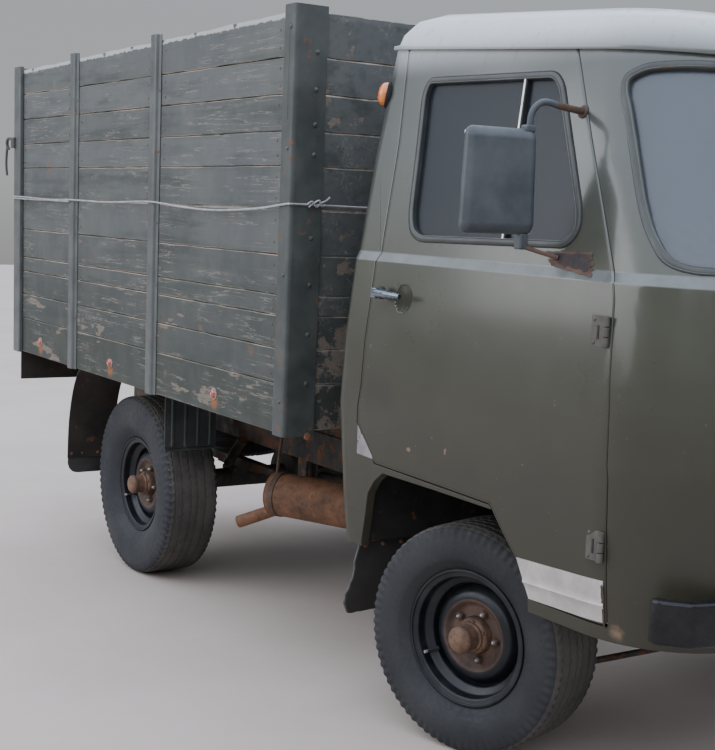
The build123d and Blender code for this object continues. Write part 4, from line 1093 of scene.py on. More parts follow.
def gate_steel(P):
    for x in (-700, 0, 700):
        P.add(g_prism(round_poly([(x - 30, 2226.5), (x - 30, 2231), (x - 18, 2231), (x - 13, 2236), (x + 13, 2236), (x + 18, 2231), (x + 30, 2231), (x + 30, 2226.5)], 2, 2),
                      "z", 1000, 2120, 1.0, 1), 2)
        P.add(turned([(-30, 0), (-30, 11), (-29, 12), (29, 12), (30, 11), (30, 0)], (x, 2240, 976), (1, 0, 0), 20), 2)
        P.add(g_box(x - 30, x + 30, 2230, 2236, 976, 1002, 1.5), 2)
        for z0, z1 in zip(JOINTS[:-1], JOINTS[1:]):
            P.add(bolt((x, 2236, (max(z0, 996) + min(z1, 2110)) / 2), (0, 1, 0), 8, 4, True), 3)


gate = [g_board(-955, 955, 2202, 2226, max(z0, 996) + 1.5, z1 - 1.5, "x", 90 + i, n=40) for i, (z0, z1) in enumerate(zip(JOINTS[:-1], JOINTS[1:]))]
boards("tailgate_boards", "tailgate", "tailgate", gate, gate_steel)

# steel of the load body
P = Piece("bed_steel_skin", "chassis", "bed_steel", "bed_steel", "bed_steel_dark", "rusty_steel", angle=40)
HAT = [(968.5, -43), (972.5, -43), (975, -30), (984, -27), (988, -19), (988, 19), (984, 27), (975, 30), (972.5, 43), (968.5, 43)]
for yc in (597.0, 1437.0):
    zt = bed_top(yc) + 18
    pts = [(x, yc + y) for x, y in HAT]
    P.add(g_prism(round_poly(pts, 4, 3), "z", 836, zt, 1.2, 1, 50), 0, True)
    for i, (z0, z1) in enumerate(zip(JOINTS[:-1], JOINTS[1:])):
        P.add(bolt((-972.8, yc + (36 if i % 2 else -36), (z0 + z1) / 2), (-1, 0, 0), 5.5, 3.2, True), 1 if i % 3 else 2, True)
# rear posts: an angle that laps round the end of the boards
pts = [(968.5, 2104), (984, 2104), (988, 2108), (988, 2184), (983, 2192), (908, 2192), (908, 2186.5), (968.5, 2186.5)]
P.add(g_prism(round_poly(pts, 3, 2), "z", 836, 2174, 1.2, 1, 50), 0, True)
# front corner: a channel of the side and a wide flange over the front wall, with a slot between them near the top
pts = [(968.5, -388), (975, -388), (978, -394), (981, -404), (987, -410), (988, -418), (988, -466), (984, -475), (974, -478), (868, -478), (868, -474), (966, -474), (968.5, -466)]
# the whole front corner takes bed_steel_dark, a darker copy of the bed steel: painted shade for its forward-facing
# flange
P.add(g_prism(round_poly(pts, 3, 2), "z", 836, 2204, 1.4, 1, 50), 1, True)
P.add(g_box(-989.0, -985.5, -446, -438, 1850, 2150, 1.0, 1), 1, True)
for z in (2061, 1945, 1837, 1743, 1480, 1330, 1170, 1010):
    P.add(bolt((-905, -478, z), (0, -1, 0), 8.5, 5, True), 1, True)
for z in (2134, 1760, 1360, 950):
    P.add(bolt((-988, -452, z), (-1, 0, 0), 7.5, 4.5, True), 1, True)
P.add(bolt((-894, -478, 836), (0, -1, 0), 13, 9), 2, True)
for xc in (-560, -190, 190, 560):
    P.add(g_box(xc - 25, xc + 25, -494, -466.5, 856, 1420, 4, 2), 0)
P.add(g_box(-600, 600, -499, -494, 1380, 1420, 1.5, 1), 0)
# the hook that holds the gate shut, and its hanging rod, on the rear posts
P.add(g_tube(catmull([(-992, 2196, 1838), (-996, 2224, 1846), (-998, 2250, 1838), (-996, 2262, 1815), (-990, 2252, 1796)], 5), 7.5, 10), 1, True)
P.add(g_tube(catmull([(-996, 2256, 1818), (-998, 2264, 1770), (-998, 2268, 1720), (-996, 2262, 1672)], 5), 6.0, 10), 1, True)
P.add(g_box(-1000, -986, 2160, 2200, 1800, 1850, 4, 2), 1, True)
P.done("bed_posts")

# ------------------------------------------------------------------ the wire tied round the bed
W = Piece("tie_wire_strands", "chassis", "wire_steel", "wire_steel")


def strand(shift, r=3.6):
    right = [(-993.5, 2176, 1566), (-993.5, 1800, 1563), (-993.8, 1437, 1569), (-993, 1010, 1566), (-993.8, 597, 1575), (-992.5, 330, 1562),
             (-992.0, 50, 1555), (-992.5, -250, 1566), (-993.5, -440, 1583)]
    turn = [(-991.5, -474, 1586), (-986, -482.5, 1586)]
    frontw = [(-914, -484, 1586), (-600, -500.5, 1583), (0, -500.5, 1580), (600, -500.5, 1583), (914, -484, 1586)]
    left = [(-x, y, z) for x, y, z in (right + turn)[::-1]]
    path = catmull([Vector(p) + shift for p in right + turn + frontw + left], 7)
    return g_tube(path, r, 8)


W.add(strand(Vector((0, 0, 0))))
for s in (1, -1):
    W.add(g_tube(catmull([(s * 994, 2180, 1574), (s * 996.5, 1950, 1572), (s * 995.5, 1700, 1564), (s * 994.5, 1437, 1562)], 7), 3.2, 8))
W.add(g_tube(catmull([(-930, -487, 1586), (-914, -492, 1596), (-896, -490, 1580), (-880, -488, 1592), (-862, -490, 1600), (-846, -488, 1612)], 6), 3.4, 8))
W.add(g_tube(catmull([(-925, -491, 1578), (-905, -489, 1592), (-888, -493, 1600), (-876, -489, 1584), (-862, -488, 1588)], 6), 3.4, 8))
W.done("tie_wire")


# ------------------------------------------------------------------ wheels
def g_tyre(R, hw, rim=201.0, n=300, pitch=75, worn=1.0):
    """tyre with ribs, zigzag grooves and notched shoulders; u along X"""
    rb = rim - 17.5
    half = [(70, rb, 0), (76, rb + 4, 0), (79, rim + 2, 0), (88, rim + 9, 0), (hw - 12, rb + (R - rb) * 0.30, 0), (hw - 9.5, rb + (R - rb) * 0.33, 0), (hw - 3, rb + (R - rb) * 0.42, 0),
            (hw, rb + (R - rb) * 0.56, 0), (hw - 0.5, rb + (R - rb) * 0.68, 0), (hw - 2.5, R - 38, 0), (hw - 1.2, R - 34, 1), (hw - 3.2, R - 22, 1), (hw - 6.5, R - 13, 1), (hw - 11, R - 7.0, 1),
            (hw - 18, R - 3.0, 1), (hw - 27, R - 1.2, 1)]
    grooves = (hw - 34.0, hw - 66.0, 14.0)
    d = 5.5 * worn
    prof = list(half)
    for g in grooves:
        prof += [(g + 4.5, R - 0.6, 2), (g + 3.2, R - d, 3), (g - 3.2, R - d, 3), (g - 4.5, R - 0.4, 2)]
    prof.append((0.0, R - 0.2, 2))
    prof = prof + [(-u, r, k) for u, r, k in prof[-2::-1]]
    m = len(prof)
    vs, fs = [], []
    for i in range(n):
        a = 2 * math.pi * i / n
        ph = (i * pitch / n) % 1.0
        zig = 3.4 * (abs(((i * pitch / n) % 1.0) - 0.5) * 4 - 1)
        cut = 1.0 if ph < 0.34 else 0.0
        for u, r, k in prof:
            if k == 1 and cut:
                r -= 4.2 * worn
                u -= math.copysign(2.6, u)
            if k >= 2:
                u += zig * (0.6 if abs(u) > hw - 45 else 1.0)
            vs.append(Vector((u, r * math.sin(a), r * math.cos(a))))
    for i in range(n):
        j = (i + 1) % n
        for k in range(m - 1):
            fs.append([i * m + k, i * m + k + 1, j * m + k + 1, j * m + k])
        fs.append([i * m + m - 1, i * m, j * m, j * m + m - 1])
    return vs, fs


RIM = [(86, 193), (86, 201), (79, 201), (74, 182.5), (44, 181), (30, 158), (-14, 158), (-30, 181), (-74, 182.5), (-79, 201), (-86, 201), (-86, 193),
       (-81, 193), (-77, 177), (-33, 175.5), (-17, 152.5), (33, 152.5), (47, 175.5), (77, 177), (81, 193)]
DISC = [(2, 153), (2, 146), (34, 124), (40, 112), (38, 104), (22, 88), (22, 54), (28, 54), (28, 86), (44, 101), (46, 112), (40, 128), (10, 149), (10, 153)]
HUB = [(-56, 0), (-56, 148), (14, 148), (14, 128), (21.5, 70), (21.5, 53), (50, 53), (56, 48), (56, 44), (66, 44), (66, 38), (110, 36), (118, 27), (118, 0)]


def ring_bolts(P, n, r, u, br, h, mi, phase=0.0, dome=False):
    for k in range(n):
        a = 2 * math.pi * (k + phase) / n
        P.add(bolt((u, r * math.sin(a), r * math.cos(a)), (1, 0, 0), br, h, dome), mi)


def place_wheel(P, side, xw, y, turn):
    """from the wheel's own frame, with u growing outboard, to the truck"""
    q = Matrix.Translation((side * xw, y, 372.0)) @ (Matrix.Identity(4) if side > 0 else Matrix.Rotation(math.pi, 4, "Z"))
    if turn:
        k = Vector((side * 622.0, y, 372.0))
        q = Matrix.Translation(k) @ Matrix.Rotation(math.radians(16.6), 4, "Z") @ Matrix.Translation(-k) @ q
    P.v = [q @ Vector(v) for v in P.v]


for name, sd, xw, yw, R, hw, turn in (("front_left", 1, 742.0, -1220.0, 333.0, 116.0, True), ("front_right", -1, 742.0, -1220.0, 333.0, 116.0, True),
                                      ("rear_left", 1, 722.0, 1080.0, 380.0, 118.0, False), ("rear_right", -1, 722.0, 1080.0, 380.0, 118.0, False)):
    T = Piece("tyre_skin_" + name, "wheel_" + name, "tyre_rubber", "tyre_front" if turn else "tyre_rear", "tread_front" if turn else "tread_rear", angle=38)
    g = g_tyre(R, hw, worn=0.55 if turn else 0.72)
    T.add(g, [1 if min(math.hypot(g[0][i].y, g[0][i].z) for i in f) > R - 9.5 else 0 for f in g[1]])
    place_wheel(T, sd, xw, yw, turn)
    T.done("tyre_" + name)
    D = Piece("wheel_skin_" + name, "wheel_" + name, "rim_black", "rim_black", "hub_rust", "rusty_dark", "wire_steel", "gasket", angle=38)
    D.add(g_turn([(v.x, v.y) for v in round_poly(RIM, 5.5, 4)], 96, closed=True), 0)
    disc = g_turn([(v.x, v.y) for v in round_poly(DISC, 7, 4)], 96, closed=True)
    mi = []
    for f in disc[1]:
        c = sum((disc[0][i] for i in f), Vector()) / len(f)
        mi.append(2 if math.hypot(c.y, c.z) < 107 else 0)
    D.add(disc, mi)
    D.add(g_turn([(v.x, v.y) for v in round_poly(HUB, 4, 3, closed=False)], 72), 1)
    ring_bolts(D, 5, 72.0, 28.0, 12.5, 15.0, 2, 0.3)
    ring_bolts(D, 5, 72.0, 43.0, 6.0, 9.0, 3, 0.3, True)
    ring_bolts(D, 6, 45.0, 52.0, 6.5, 7.0, 1, 0.1)
    D.add(g_turn([(98, 0), (98, 38), (104, 39.5), (112, 38.5), (120, 31), (124, 18), (125.5, 0)], 36), 1)
    D.add(turned([(-8, 0), (-8, 7), (10, 6), (12, 4.5), (34, 4.5), (35, 3.5), (35, 0)], (40, -134, -72), (1, -0.25, -0.1), 12), 4)
    D.add(turned([(0, 0), (0, 4.8), (9, 4.8), (10, 3), (10, 0)], (73, -142, -75), (1, -0.25, -0.1), 10), 3)
    place_wheel(D, sd, xw, yw, turn)
    D.done("wheel_" + name)

S = Piece("spare_skin", "chassis", "tyre_rubber", "tyre_rear", "rusty_dark", "rim_black", angle=38)
g = g_tyre(333.0, 96.0, n=240)
up = Matrix.Translation((0, 1880, 450)) @ Matrix.Rotation(-math.pi / 2, 4, "Y")
S.add(moved(g, up), 0)
S.add(moved(g_turn([(v.x * 0.88, v.y) for v in round_poly(RIM, 5.5, 3)], 72, closed=True), up), 2)
S.add(moved(g_turn([(-24, 56), (-24, 154), (-16, 154), (-16, 56)], 64, closed=True), up), 1)
S.done("spare_wheel")

# ------------------------------------------------------------------ cab trim
DOOR_FRONT = [(-1917, 606), (-1922, 716), (-1924, 836), (-1930, 968), (-1917, 1158), (-1889, 1390), (-1876, 1436), (-1676, 1770)]
DOOR = [(-824, head(-824) - 6), (-873, 1786), (-904, 1515), (-912, 1455), (-902, 1424), (-900, 1062), (-886, 948),
        (-965, 842), (-1238, 835), (-1500, 827), (-1556, 756), (-1608, 700), (-1634, 640), (-1649, 606)] + DOOR_FRONT + [(-1546, head(-1546) - 6)]
DOOR_WINDOW = [(-955, 1955), (-1490, 1944), (-1525, 1915), (-1703, 1598), (-1716, 1548), (-1685, 1512), (-1080, 1503), (-1035, 1520), (-1008, 1570), (-944, 1915)]
WS_FULL = [(1260, 1953), (400, 1958), (310, 1950), (268, 1925), (262, 1890), (270, 1842), (292, 1628), (305, 1557), (337, 1487), (390, 1470), (1260, 1462)]


def flat(pts, radius, step=26.0, closed=True, n=4):
    return [(v.x, v.y) for v in dense(round_poly(pts, radius, n, closed), step, closed)]


def laid(pts, s=-1):
    """the (y, z) outline on the cab's side, as points and normals"""
    return on_side(pts, s)


def skin_patch(quad, s, lift, nx=14, nz=6, rag=0.0, seed=1.0, thick=2.5, crease=None):
    """a thin plate laid on the cab's side; quad is rear top, front top, front bottom, rear bottom as (y, z)"""
    a, b, c, d = [Vector(q) for q in quad]
    top, bot = [], []
    for i in range(nx + 1):
        for j in range(nz + 1):
            u, v = i / nx, j / nz
            if rag:
                u2 = u + rag * noise.noise(Vector((j * 0.9, seed, i * 0.2))) * (1 if 0 < i < nx else 2.2)
                v2 = v + rag * 1.6 * noise.noise(Vector((i * 0.8, seed + 4, j * 0.3)))
            else:
                u2, v2 = u, v
            p = (a.lerp(b, u2)).lerp(d.lerp(c, u2), v2)
            h = side(p.x, p.y, s) or side(p.x + 20, p.y, s)
            k = crease(u, v) if crease else 0.0
            top.append(h[0] + h[1] * (lift + thick + k))
            bot.append(h[0] + h[1] * lift)
    m = nz + 1
    n0 = len(top)
    fs = []
    for i in range(nx):
        for j in range(nz):
            fs.append([i * m + j, i * m + j + 1, (i + 1) * m + j + 1, (i + 1) * m + j])
            fs.append([n0 + i * m + j, n0 + (i + 1) * m + j, n0 + (i + 1) * m + j + 1, n0 + i * m + j + 1])
    rim = [i * m for i in range(nx + 1)] + [nx * m + j for j in range(1, nz + 1)] + [i * m + nz for i in range(nx - 1, -1, -1)] + [j for j in range(nz - 1, 0, -1)]
    for k in range(len(rim)):
        p, q = rim[k], rim[(k + 1) % len(rim)]
        fs.append([p, q, q + n0, p + n0])
    return top + bot, fs


ROUND = [(-1.0, 0.0), (-0.82, 0.55), (-0.4, 0.92), (0.0, 1.0), (0.4, 0.92), (0.82, 0.55), (1.0, 0.0)]


def bead(w, h, base=-1.0):
    return [(-w, base)] + [(u * w, o * h) for u, o in ROUND] + [(w, base)]


# lap of each door's skin over its gap, rubber round its window, the vent bar, the hinges, trim and mirror foot
for s, nm in ((1, "left"), (-1, "right")):
    P = Piece("door_lap_" + nm, "door_" + nm, "cab_paint", "cab_paint", angle=40)
    path, nor = laid(flat(DOOR, 10), s)
    inward = -1.0 if s < 0 else 1.0
    P.add(g_ribbon(path, nor, [(k * inward, o) for k, o in ((1.5, -7), (-5.6, -7), (-6.0, -2.2), (-4.6, -0.4), (-2.0, 0.4), (1.5, 0.3))], closed=True))
    P.done()

    P = Piece("door_seal_" + nm, "door_" + nm, "black_rubber", "gasket", "bed_steel", "chrome", "seal", angle=50)
    path, nor = laid(flat(DOOR_WINDOW, 46), s)
    P.add(g_ribbon(path, nor, bead(9.5, 5.5, -14.0), closed=True), 3)
    P.add(g_ribbon(path, nor, [(u - 7.6 * inward, o + 3.2) for u, o in bead(1.7, 2.2, -2.0)], closed=True), 1)
    P.add(g_ribbon(path, nor, [(u + 7.4 * inward, o + 1.0) for u, o in bead(3.4, 2.4, -9.0)], closed=True), 0)
    path, nor = laid([(v.x, v.y) for v in catmull([Vector((-1376, 1943, 0)), Vector((-1396, 1808, 0)), Vector((-1418, 1650, 0)), Vector((-1440, 1512, 0))], 5)], s)
    P.add(g_ribbon(path, nor, bead(8.0, 1.6, -16.0)), 0)
    P.add(g_ribbon(path, nor, [(u, o + 1.3) for u, o in bead(3.6, 2.6, -1.0)]), 2)
    P.done()

    P = Piece("door_trim_" + nm, "door_" + nm, "cab_paint", "cab_paint", "alu", "rusty_dark", "flap_pale", "scorched", "hinge_paint", angle=35)
    for z0, z1, yc in ((1278, 1352, -1874), (762, 838, -1904)):
        h = side(yc, (z0 + z1) / 2, s)
        x = h[0].x
        P.add(g_box(min(x - s * 6, x + s * 5), max(x - s * 6, x + s * 5), yc - 16, yc + 36, z0, z1, 1.6, 2), 5)
        P.add(g_box(min(x + s * 4, x + s * 7), max(x + s * 4, x + s * 7), yc + 8, yc + 15, z0 + 18, z1 - 22, 1.0, 1), 4)
        for k in range(3):
            a = z0 + (z1 - z0) * k / 3 + 1
            b = z0 + (z1 - z0) * (k + 1) / 3 - 1
            P.add(turned([(0, 0), (0, 7.6), (1, 8.6), (b - a - 1, 8.6), (b - a, 7.6), (b - a, 0)], (x + s * 7.5, yc - 18, a), (0, 0, 1), 16), 5)
        for z in (z0 + 9, z1 - 9):
            P.add(bolt((x + s * 5, yc + 26, z), (s, 0, 0), 5.5, 3.0, True), 5)
    # the bright sheet along the foot of the door with a pressed line
    P.add(skin_patch([(-1608, 702), (-1921, 716), (-1917, 608), (-1649, 600)], s, 0.6, 24, 12, thick=2.0,
                     crease=lambda u, v: 4.2 * math.exp(-((v - 0.60) / 0.055) ** 2)), 1)
    P.add(skin_patch([(-1915, 704), (-1923, 706), (-1919, 608), (-1914, 608)], s, 2.9, 4, 12, 0.16, 2.0, 1.0), 2)
    # rust under the mirror's foot
    if s < 0:
        P.add(skin_patch([(-1618, 1493), (-1786, 1498), (-1806, 1438), (-1650, 1458)], s, 0.3, 20, 10, 0.06, 5.0, 1.0), 2)
        P.add(skin_patch([(-1650, 1488), (-1780, 1492), (-1792, 1450), (-1676, 1464)], s, 1.5, 16, 8, 0.09, 9.0, 0.6), 4)
        P.add(skin_patch([(-1592, 1490), (-1650, 1488), (-1655, 1482), (-1596, 1483)], s, 0.3, 8, 3, 0.10, 8.0, 1.0), 2)
    h = side(-1629, 1842, s)
    P.add(turned([(-2, 0), (-2, 17), (3, 17), (6, 13), (6, 0)], h[0], h[1], 20), 2)
    P.done()

    # handle: a tapering lever on a thick rear end
    P = Piece("handle_skin_" + nm, "door_" + nm, "chrome", "handle_steel", "gasket", angle=45)
    P.add(g_box(min(s * 955, s * 989), max(s * 955, s * 989), -990, -962, 1326, 1358, 6.0, 3), 0)
    pth = [(s * 978, -978, 1342), (s * 980, -1010, 1342), (s * 980, -1050, 1341), (s * 977, -1085, 1340), (s * 974, -1097, 1339)]
    P.add(g_tube(catmull(pth, 4), [13.0] * 4 + [12.0] * 4 + [10.0] * 4 + [8.0] * 4 + [5.0], 14, squash=1.0, up=Vector((0, 0, 1))), 0)
    P.add(turned([(-4, 0), (-4, 19), (2, 19), (3, 17), (3, 0)], (s * 956, -976, 1342), (s, 0, 0), 24), 1)
    P.done("door_handle_" + nm)

    # mirror
    P = Piece("mirror_skin_" + nm, "door_" + nm, "dark_plastic", "dark_plastic", "mirror_glass", "dark_plastic", "rusty_dark", angle=50)
    g = g_box(-102, 102, -25, 25, -129, 129, 21.0, 5)
    vs = []
    for v in g[0]:
        k = 1.0 - 0.10 * max(0.0, -v.y / 25.0) * (abs(v.x) / 102.0) ** 2
        w = Vector((v.x * (1.0 - 0.035 * (v.z / 129.0)), v.y * (0.72 + 0.28 * (1 - (abs(v.x) / 102.0) ** 3) * (1 - (abs(v.z) / 129.0) ** 4)), v.z * k))
        vs.append(w)
    rot = Matrix.Translation((s * 1044.0, -1605.0, 1661.0)) @ Matrix.Rotation(math.radians(s * 6.0), 4, "Z")
    P.add(moved((vs, g[1]), rot), 0)
    P.add(moved(g_box(-92, 92, 15, 20.5, -118, 118, 2.6, 3), rot), 1)
    arm = catmull([(s * 812, -1630, 1843), (s * 873, -1626, 1850), (s * 918, -1620, 1858), (s * 942, -1616, 1850), (s * 958, -1612, 1825), (s * 961, -1612, 1780)], 6)
    P.add(g_tube(arm, 8.6, 14), 2)
    P.add(g_tube(arm[:9], 8.9, 14), 3)
    P.add(g_box(min(s * 948, s * 978), max(s * 948, s * 978), -1624, -1596, 1782, 1800, 5.0, 3), 2)
    P.add(g_box(min(s * 952, s * 978), max(s * 952, s * 978), -1622, -1594, 1495, 1535, 5.0, 3), 2)
    P.add(g_tube([(s * 966, -1609, 1504), (s * 930, -1644, 1490), (s * 897, -1672, 1479)], 5.5, 10), 3)
    P.done("mirror_" + nm)

# the drip rail runs all the way round under the roof
def rail_path(n=150):
    P, N = [], []
    for i in range(n):
        a = 2 * math.pi * i / n
        d = Vector((math.cos(a) * 0.62, math.sin(a), 0)).normalized()
        z = 2020.0
        for _ in range(4):
            h = cast(Vector((0, -1290, z)) + d * 3000, -d)
            z = head(h[0].y) + 1.5
        h = cast(Vector((0, -1290, z)) + d * 3000, -d)
        P.append(h[0])
        nn = h[1].copy()
        nn.z = 0
        N.append(nn.normalized())
    return P, N


P = Piece("drip_rail", "chassis", "cab_paint", "cab_paint", "gasket", angle=35)
path, nor = rail_path()
up = 1.0 if (path[1] - path[0]).cross(nor[0]).z > 0 else -1.0
P.add(g_ribbon(path, nor, [(u * up, o) for u, o in ((-3.5, -2), (-4.5, 8), (-3.8, 12.5), (0, 14.0), (5.5, 13.6), (7.6, 12.6), (7.8, 10.8), (5.6, 10.6), (2.0, 9.4), (1.2, 5.5), (4.0, 1.0), (4.2, -2))], closed=True), 0)
P.done()


# rubber round the windscreen panes and the back window
def ws_path(s):
    c, k = math.cos(math.radians(32)), math.sin(math.radians(32))
    d = Vector((-k, -c, 0))
    ax = Vector((c, -k, 0))
    pts = dense(round_poly(WS_FULL, 60, 5), 24)
    P, N = [], []
    for q in pts:
        h = cast(d * 2900 + ax * q.x + Vector((0, 0, q.y)), -d)
        if h and h[0].x < -30:
            P.append(h[0])
            N.append(h[1])
    # closed along the middle post
    i = max(range(len(P)), key=lambda n: (P[n] - P[n - 1]).length)
    P, N = P[i:] + P[:i], N[i:] + N[:i]
    a, b = P[-1], P[0]
    steps = int((b - a).length / 24)
    for j in range(1, steps):
        z = a.z + (b.z - a.z) * j / steps
        x = a.x + (b.x - a.x) * j / steps
        h = cast((x, -3500, z), (0, 1, 0))
        P.append(h[0])
        N.append(h[1])
    if s > 0:
        P, N = [Vector((-v.x, v.y, v.z)) for v in P][::-1], [Vector((-v.x, v.y, v.z)) for v in N][::-1]
    return P, N


P = Piece("windscreen_rubber", "chassis", "black_rubber", "seal", "bed_steel", angle=50)
for s in (-1, 1):
    path, nor = ws_path(s)
    P.add(g_ribbon(path, nor, bead(12.0, 6.0, -14.0), closed=True), 0)
    P.add(g_ribbon(path, nor, [(u + 8.0, o + 3.6) for u, o in bead(1.7, 2.0, -2.0)], closed=True), 1)
    P.add(g_ribbon(path, nor, [(u - 8.0, o + 3.6) for u, o in bead(1.7, 2.0, -2.0)], closed=True), 1)
bw = []
bn = []
for q in dense(round_poly([(-360, 1540), (360, 1540), (360, 1850), (-360, 1850)], 60, 5), 24):
    h = cast((q.x, 500, q.y), (0, -1, 0))
    bw.append(h[0])
    bn.append(h[1])
P.add(g_ribbon(bw, bn, bead(15.0, 6.0, -14.0), closed=True), 0)
P.done()

# bare corner low on the back pillar
P = Piece("bare_corner", "chassis", "cab_paint", "flap_pale", angle=30)
tri = [(-884, 940), (-962, 848), (-874, 852), (-879, 893)]
P.add(skin_patch([tri[3], tri[0], tri[1], tri[2]], -1, 0.0, 8, 8, 0.0, 1.0, 1.0), 0)
P.done()

# ------------------------------------------------------------------ lamps
L = Piece("small_lamps_skin", "chassis", "amber_lens", "amber_lens", "gasket", "flap_pale", "red_lens", "chrome", "red_orange", angle=40)
for s in (1, -1):
    ax = Vector((s * 0.80, 0.57, 0.18)).normalized()
    c = Vector((s * 803.0, -742.0, 1925.0))
    L.add(turned([(-7, 0), (-7, 37), (-1, 40), (6, 40), (9, 37), (9, 0)], c, ax, 40), 1)
    L.add(turned([(8, 0), (8, 35), (14, 35.5), (20, 34), (27, 29), (32, 20), (34, 9), (34.3, 0)], c, ax, 40), 0)
    for y in (55, 1013, 1853):
        c = Vector((s * 968.5, y, 908))
        L.add(turned([(-1, 0), (-1, 21.5), (3, 21.5), (4.5, 19.5), (4.5, 0)], c, (s, 0, 0), 28), 2)
        L.add(turned([(4, 0), (4, 17.5), (8, 16.5), (11.5, 12), (13, 6), (13.3, 0)], c, (s, 0, 0), 28), 5)
        L.add(bolt(c + Vector((s * 13, 0, 0)), (s, 0, 0), 2.6, 1.4, True), 4)
    c = Vector((s * 640.0, -2203.0, 1092.0))
    L.add(turned([(-62, 0), (-62, 33), (0, 34), (2, 36.5), (6, 36.5), (8, 33), (8, 0)], c, (0, -1, 0), 36), 4)
    L.add(turned([(7, 0), (7, 32), (13, 30), (18, 23), (20.5, 11), (21, 0)], c, (0, -1, 0), 36), 0)
    L.add(g_box(min(s * 700, s * 830), max(s * 700, s * 830), 2197, 2214, 743, 805, 5, 3), 1)
    L.add(g_box(min(s * 704, s * 786), max(s * 704, s * 786), 2213, 2237, 747, 801, 6, 3), 3)
    L.add(g_box(min(s * 788, s * 826), max(s * 788, s * 826), 2213, 2237, 747, 801, 6, 3), 0)
    L.add(g_box(min(s * 764, s * 796), max(s * 764, s * 796), 2150, 2197, 760, 790, 2, 2), 1)
L.done("small_lamps")
H = Piece("headlamps_skin", "chassis", "lamp_glass", "lamp_glass", "chrome", "reflector", angle=45)
for s in (1, -1):
    c = Vector((s * 590.0, -2216.0, 915.0))
    H.add(turned([(0, 76), (6, 78), (7, 86), (3, 90), (-4, 91), (-30, 90), (-34, 84), (-8, 76)], c, (0, -1, 0), 64, True), 1)
    H.add(turned([(-104, 0), (-100, 30), (-84, 56), (-50, 74), (-8, 79), (-8, 76.5), (-50, 71), (-82, 53), (-97, 29), (-100, 0)], c, (0, -1, 0), 64), 2)
    H.add(turned([(-6, 77.5), (0, 76.5), (8, 60), (13, 36), (15, 0)], c, (0, -1, 0), 64), 0)
    H.add(turned([(-99, 0), (-99, 11), (-60, 11), (-52, 8), (-52, 0)], c, (0, -1, 0), 20), 1)
H.done("headlamps")

# ------------------------------------------------------------------ seats, steering wheel
def g_cushion(x0, x1, y0, y1, z0, z1, puff, seed, n=20, shear=None):
    """a stuffed block: rounded, with its faces swollen"""
    bm = bmesh.new()
    bmesh.ops.create_cube(bm, size=2.0)
    bmesh.ops.subdivide_edges(bm, edges=bm.edges, cuts=n, use_grid_fill=True)
    out = []
    for v in bm.verts:
        p = v.co.copy()
        q = Vector([math.copysign(abs(c) ** 0.93, c) for c in p])
        r = 1.0 - 0.055 * (abs(p.x) ** 8 * abs(p.y) ** 8 + abs(p.y) ** 8 * abs(p.z) ** 8 + abs(p.x) ** 8 * abs(p.z) ** 8)
        b = Vector((puff * (1 - p.y ** 2) * (1 - p.z ** 2) * p.x, puff * (1 - p.x ** 2) * (1 - p.z ** 2) * p.y, puff * (1 - p.x ** 4) * (1 - p.y ** 4) * p.z))
        w = 1.6 * noise.noise(Vector((p.x * 2.2, p.y * 2.2 + seed, p.z * 2.2)))
        c = Vector(((x0 + x1) / 2 + p.x * r * ((x1 - x0) / 2 - puff * 0.5), (y0 + y1) / 2 + p.y * r * ((y1 - y0) / 2 - puff * 0.5), (z0 + z1) / 2 + p.z * r * ((z1 - z0) / 2 - puff * 0.5)))
        c += b * 0.5 + Vector((w * 0.3, w * 0.3, w))
        if shear:
            c = shear(c)
        v.co = c
    return from_bm(bm)


SEAT = None
P = Piece("seats_skin", "chassis", "seat_vinyl", "seat_vinyl", "gasket", angle=70, weighted=False)
for s in (1, -1):
    x0, x1 = (414, 826) if s > 0 else (-826, -414)
    P.add(g_cushion(x0, x1, -1460, -1030, 969, 1089, 14, s * 3.0), 0)
    # the back leans: its foot is further forward than its top
    P.add(g_cushion(x0, x1, -50, 50, 1018, 1536, 12, s * 7.0,
                    shear=lambda c: Vector((c.x, c.y * (1.0 - 0.08 * (c.z - 1018) / 518) - 962 + 78 * (c.z - 1018) / 518, c.z))), 0)
    for pth in ([(x0 + 5, -1455, 1082), (x1 - 5, -1455, 1082), (x1 - 5, -1036, 1082), (x0 + 5, -1036, 1082)],):
        P.add(g_tube(dense(round_poly(pth, 20, 4), 24), 3.6, 8, closed=True), 0)
SEAT = P.done("seats")
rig.padded(SEAT, 0.6)

P = Piece("steering_wheel_skin", "steering_wheel", "gloss_black", "gloss_black", "chrome", angle=50)
ct, cb = Vector((600, -1690, 1322)), Vector((600, -1905, 640))
ax = (ct - cb).normalized()
q = Vector((0, 0, 1)).rotation_difference(ax).to_matrix()
ring = [ct + q @ Vector((200 * math.cos(a), 200 * math.sin(a), 0)) for a in [2 * math.pi * i / 72 for i in range(72)]]
P.add(g_tube(ring, 11.6, 14, closed=True, up=ax), 0)
P.add(turned([(-24, 0), (-24, 30), (-20, 34), (8, 34), (14, 28), (16, 18), (16, 0)], ct, ax, 36), 0)
P.add(turned([(15.5, 0), (15.5, 15), (18.5, 12), (19.5, 0)], ct, ax, 28), 1)
for a in (30, 150, 270):
    dr = q @ Vector((math.cos(math.radians(a)), math.sin(math.radians(a)), 0))
    P.add(g_tube([ct + dr * 20 + ax * 2, ct + dr * 90 - ax * 2, ct + dr * 196], [9.5, 8.5, 7.0], 12), 0)
P.done("steering_wheel")

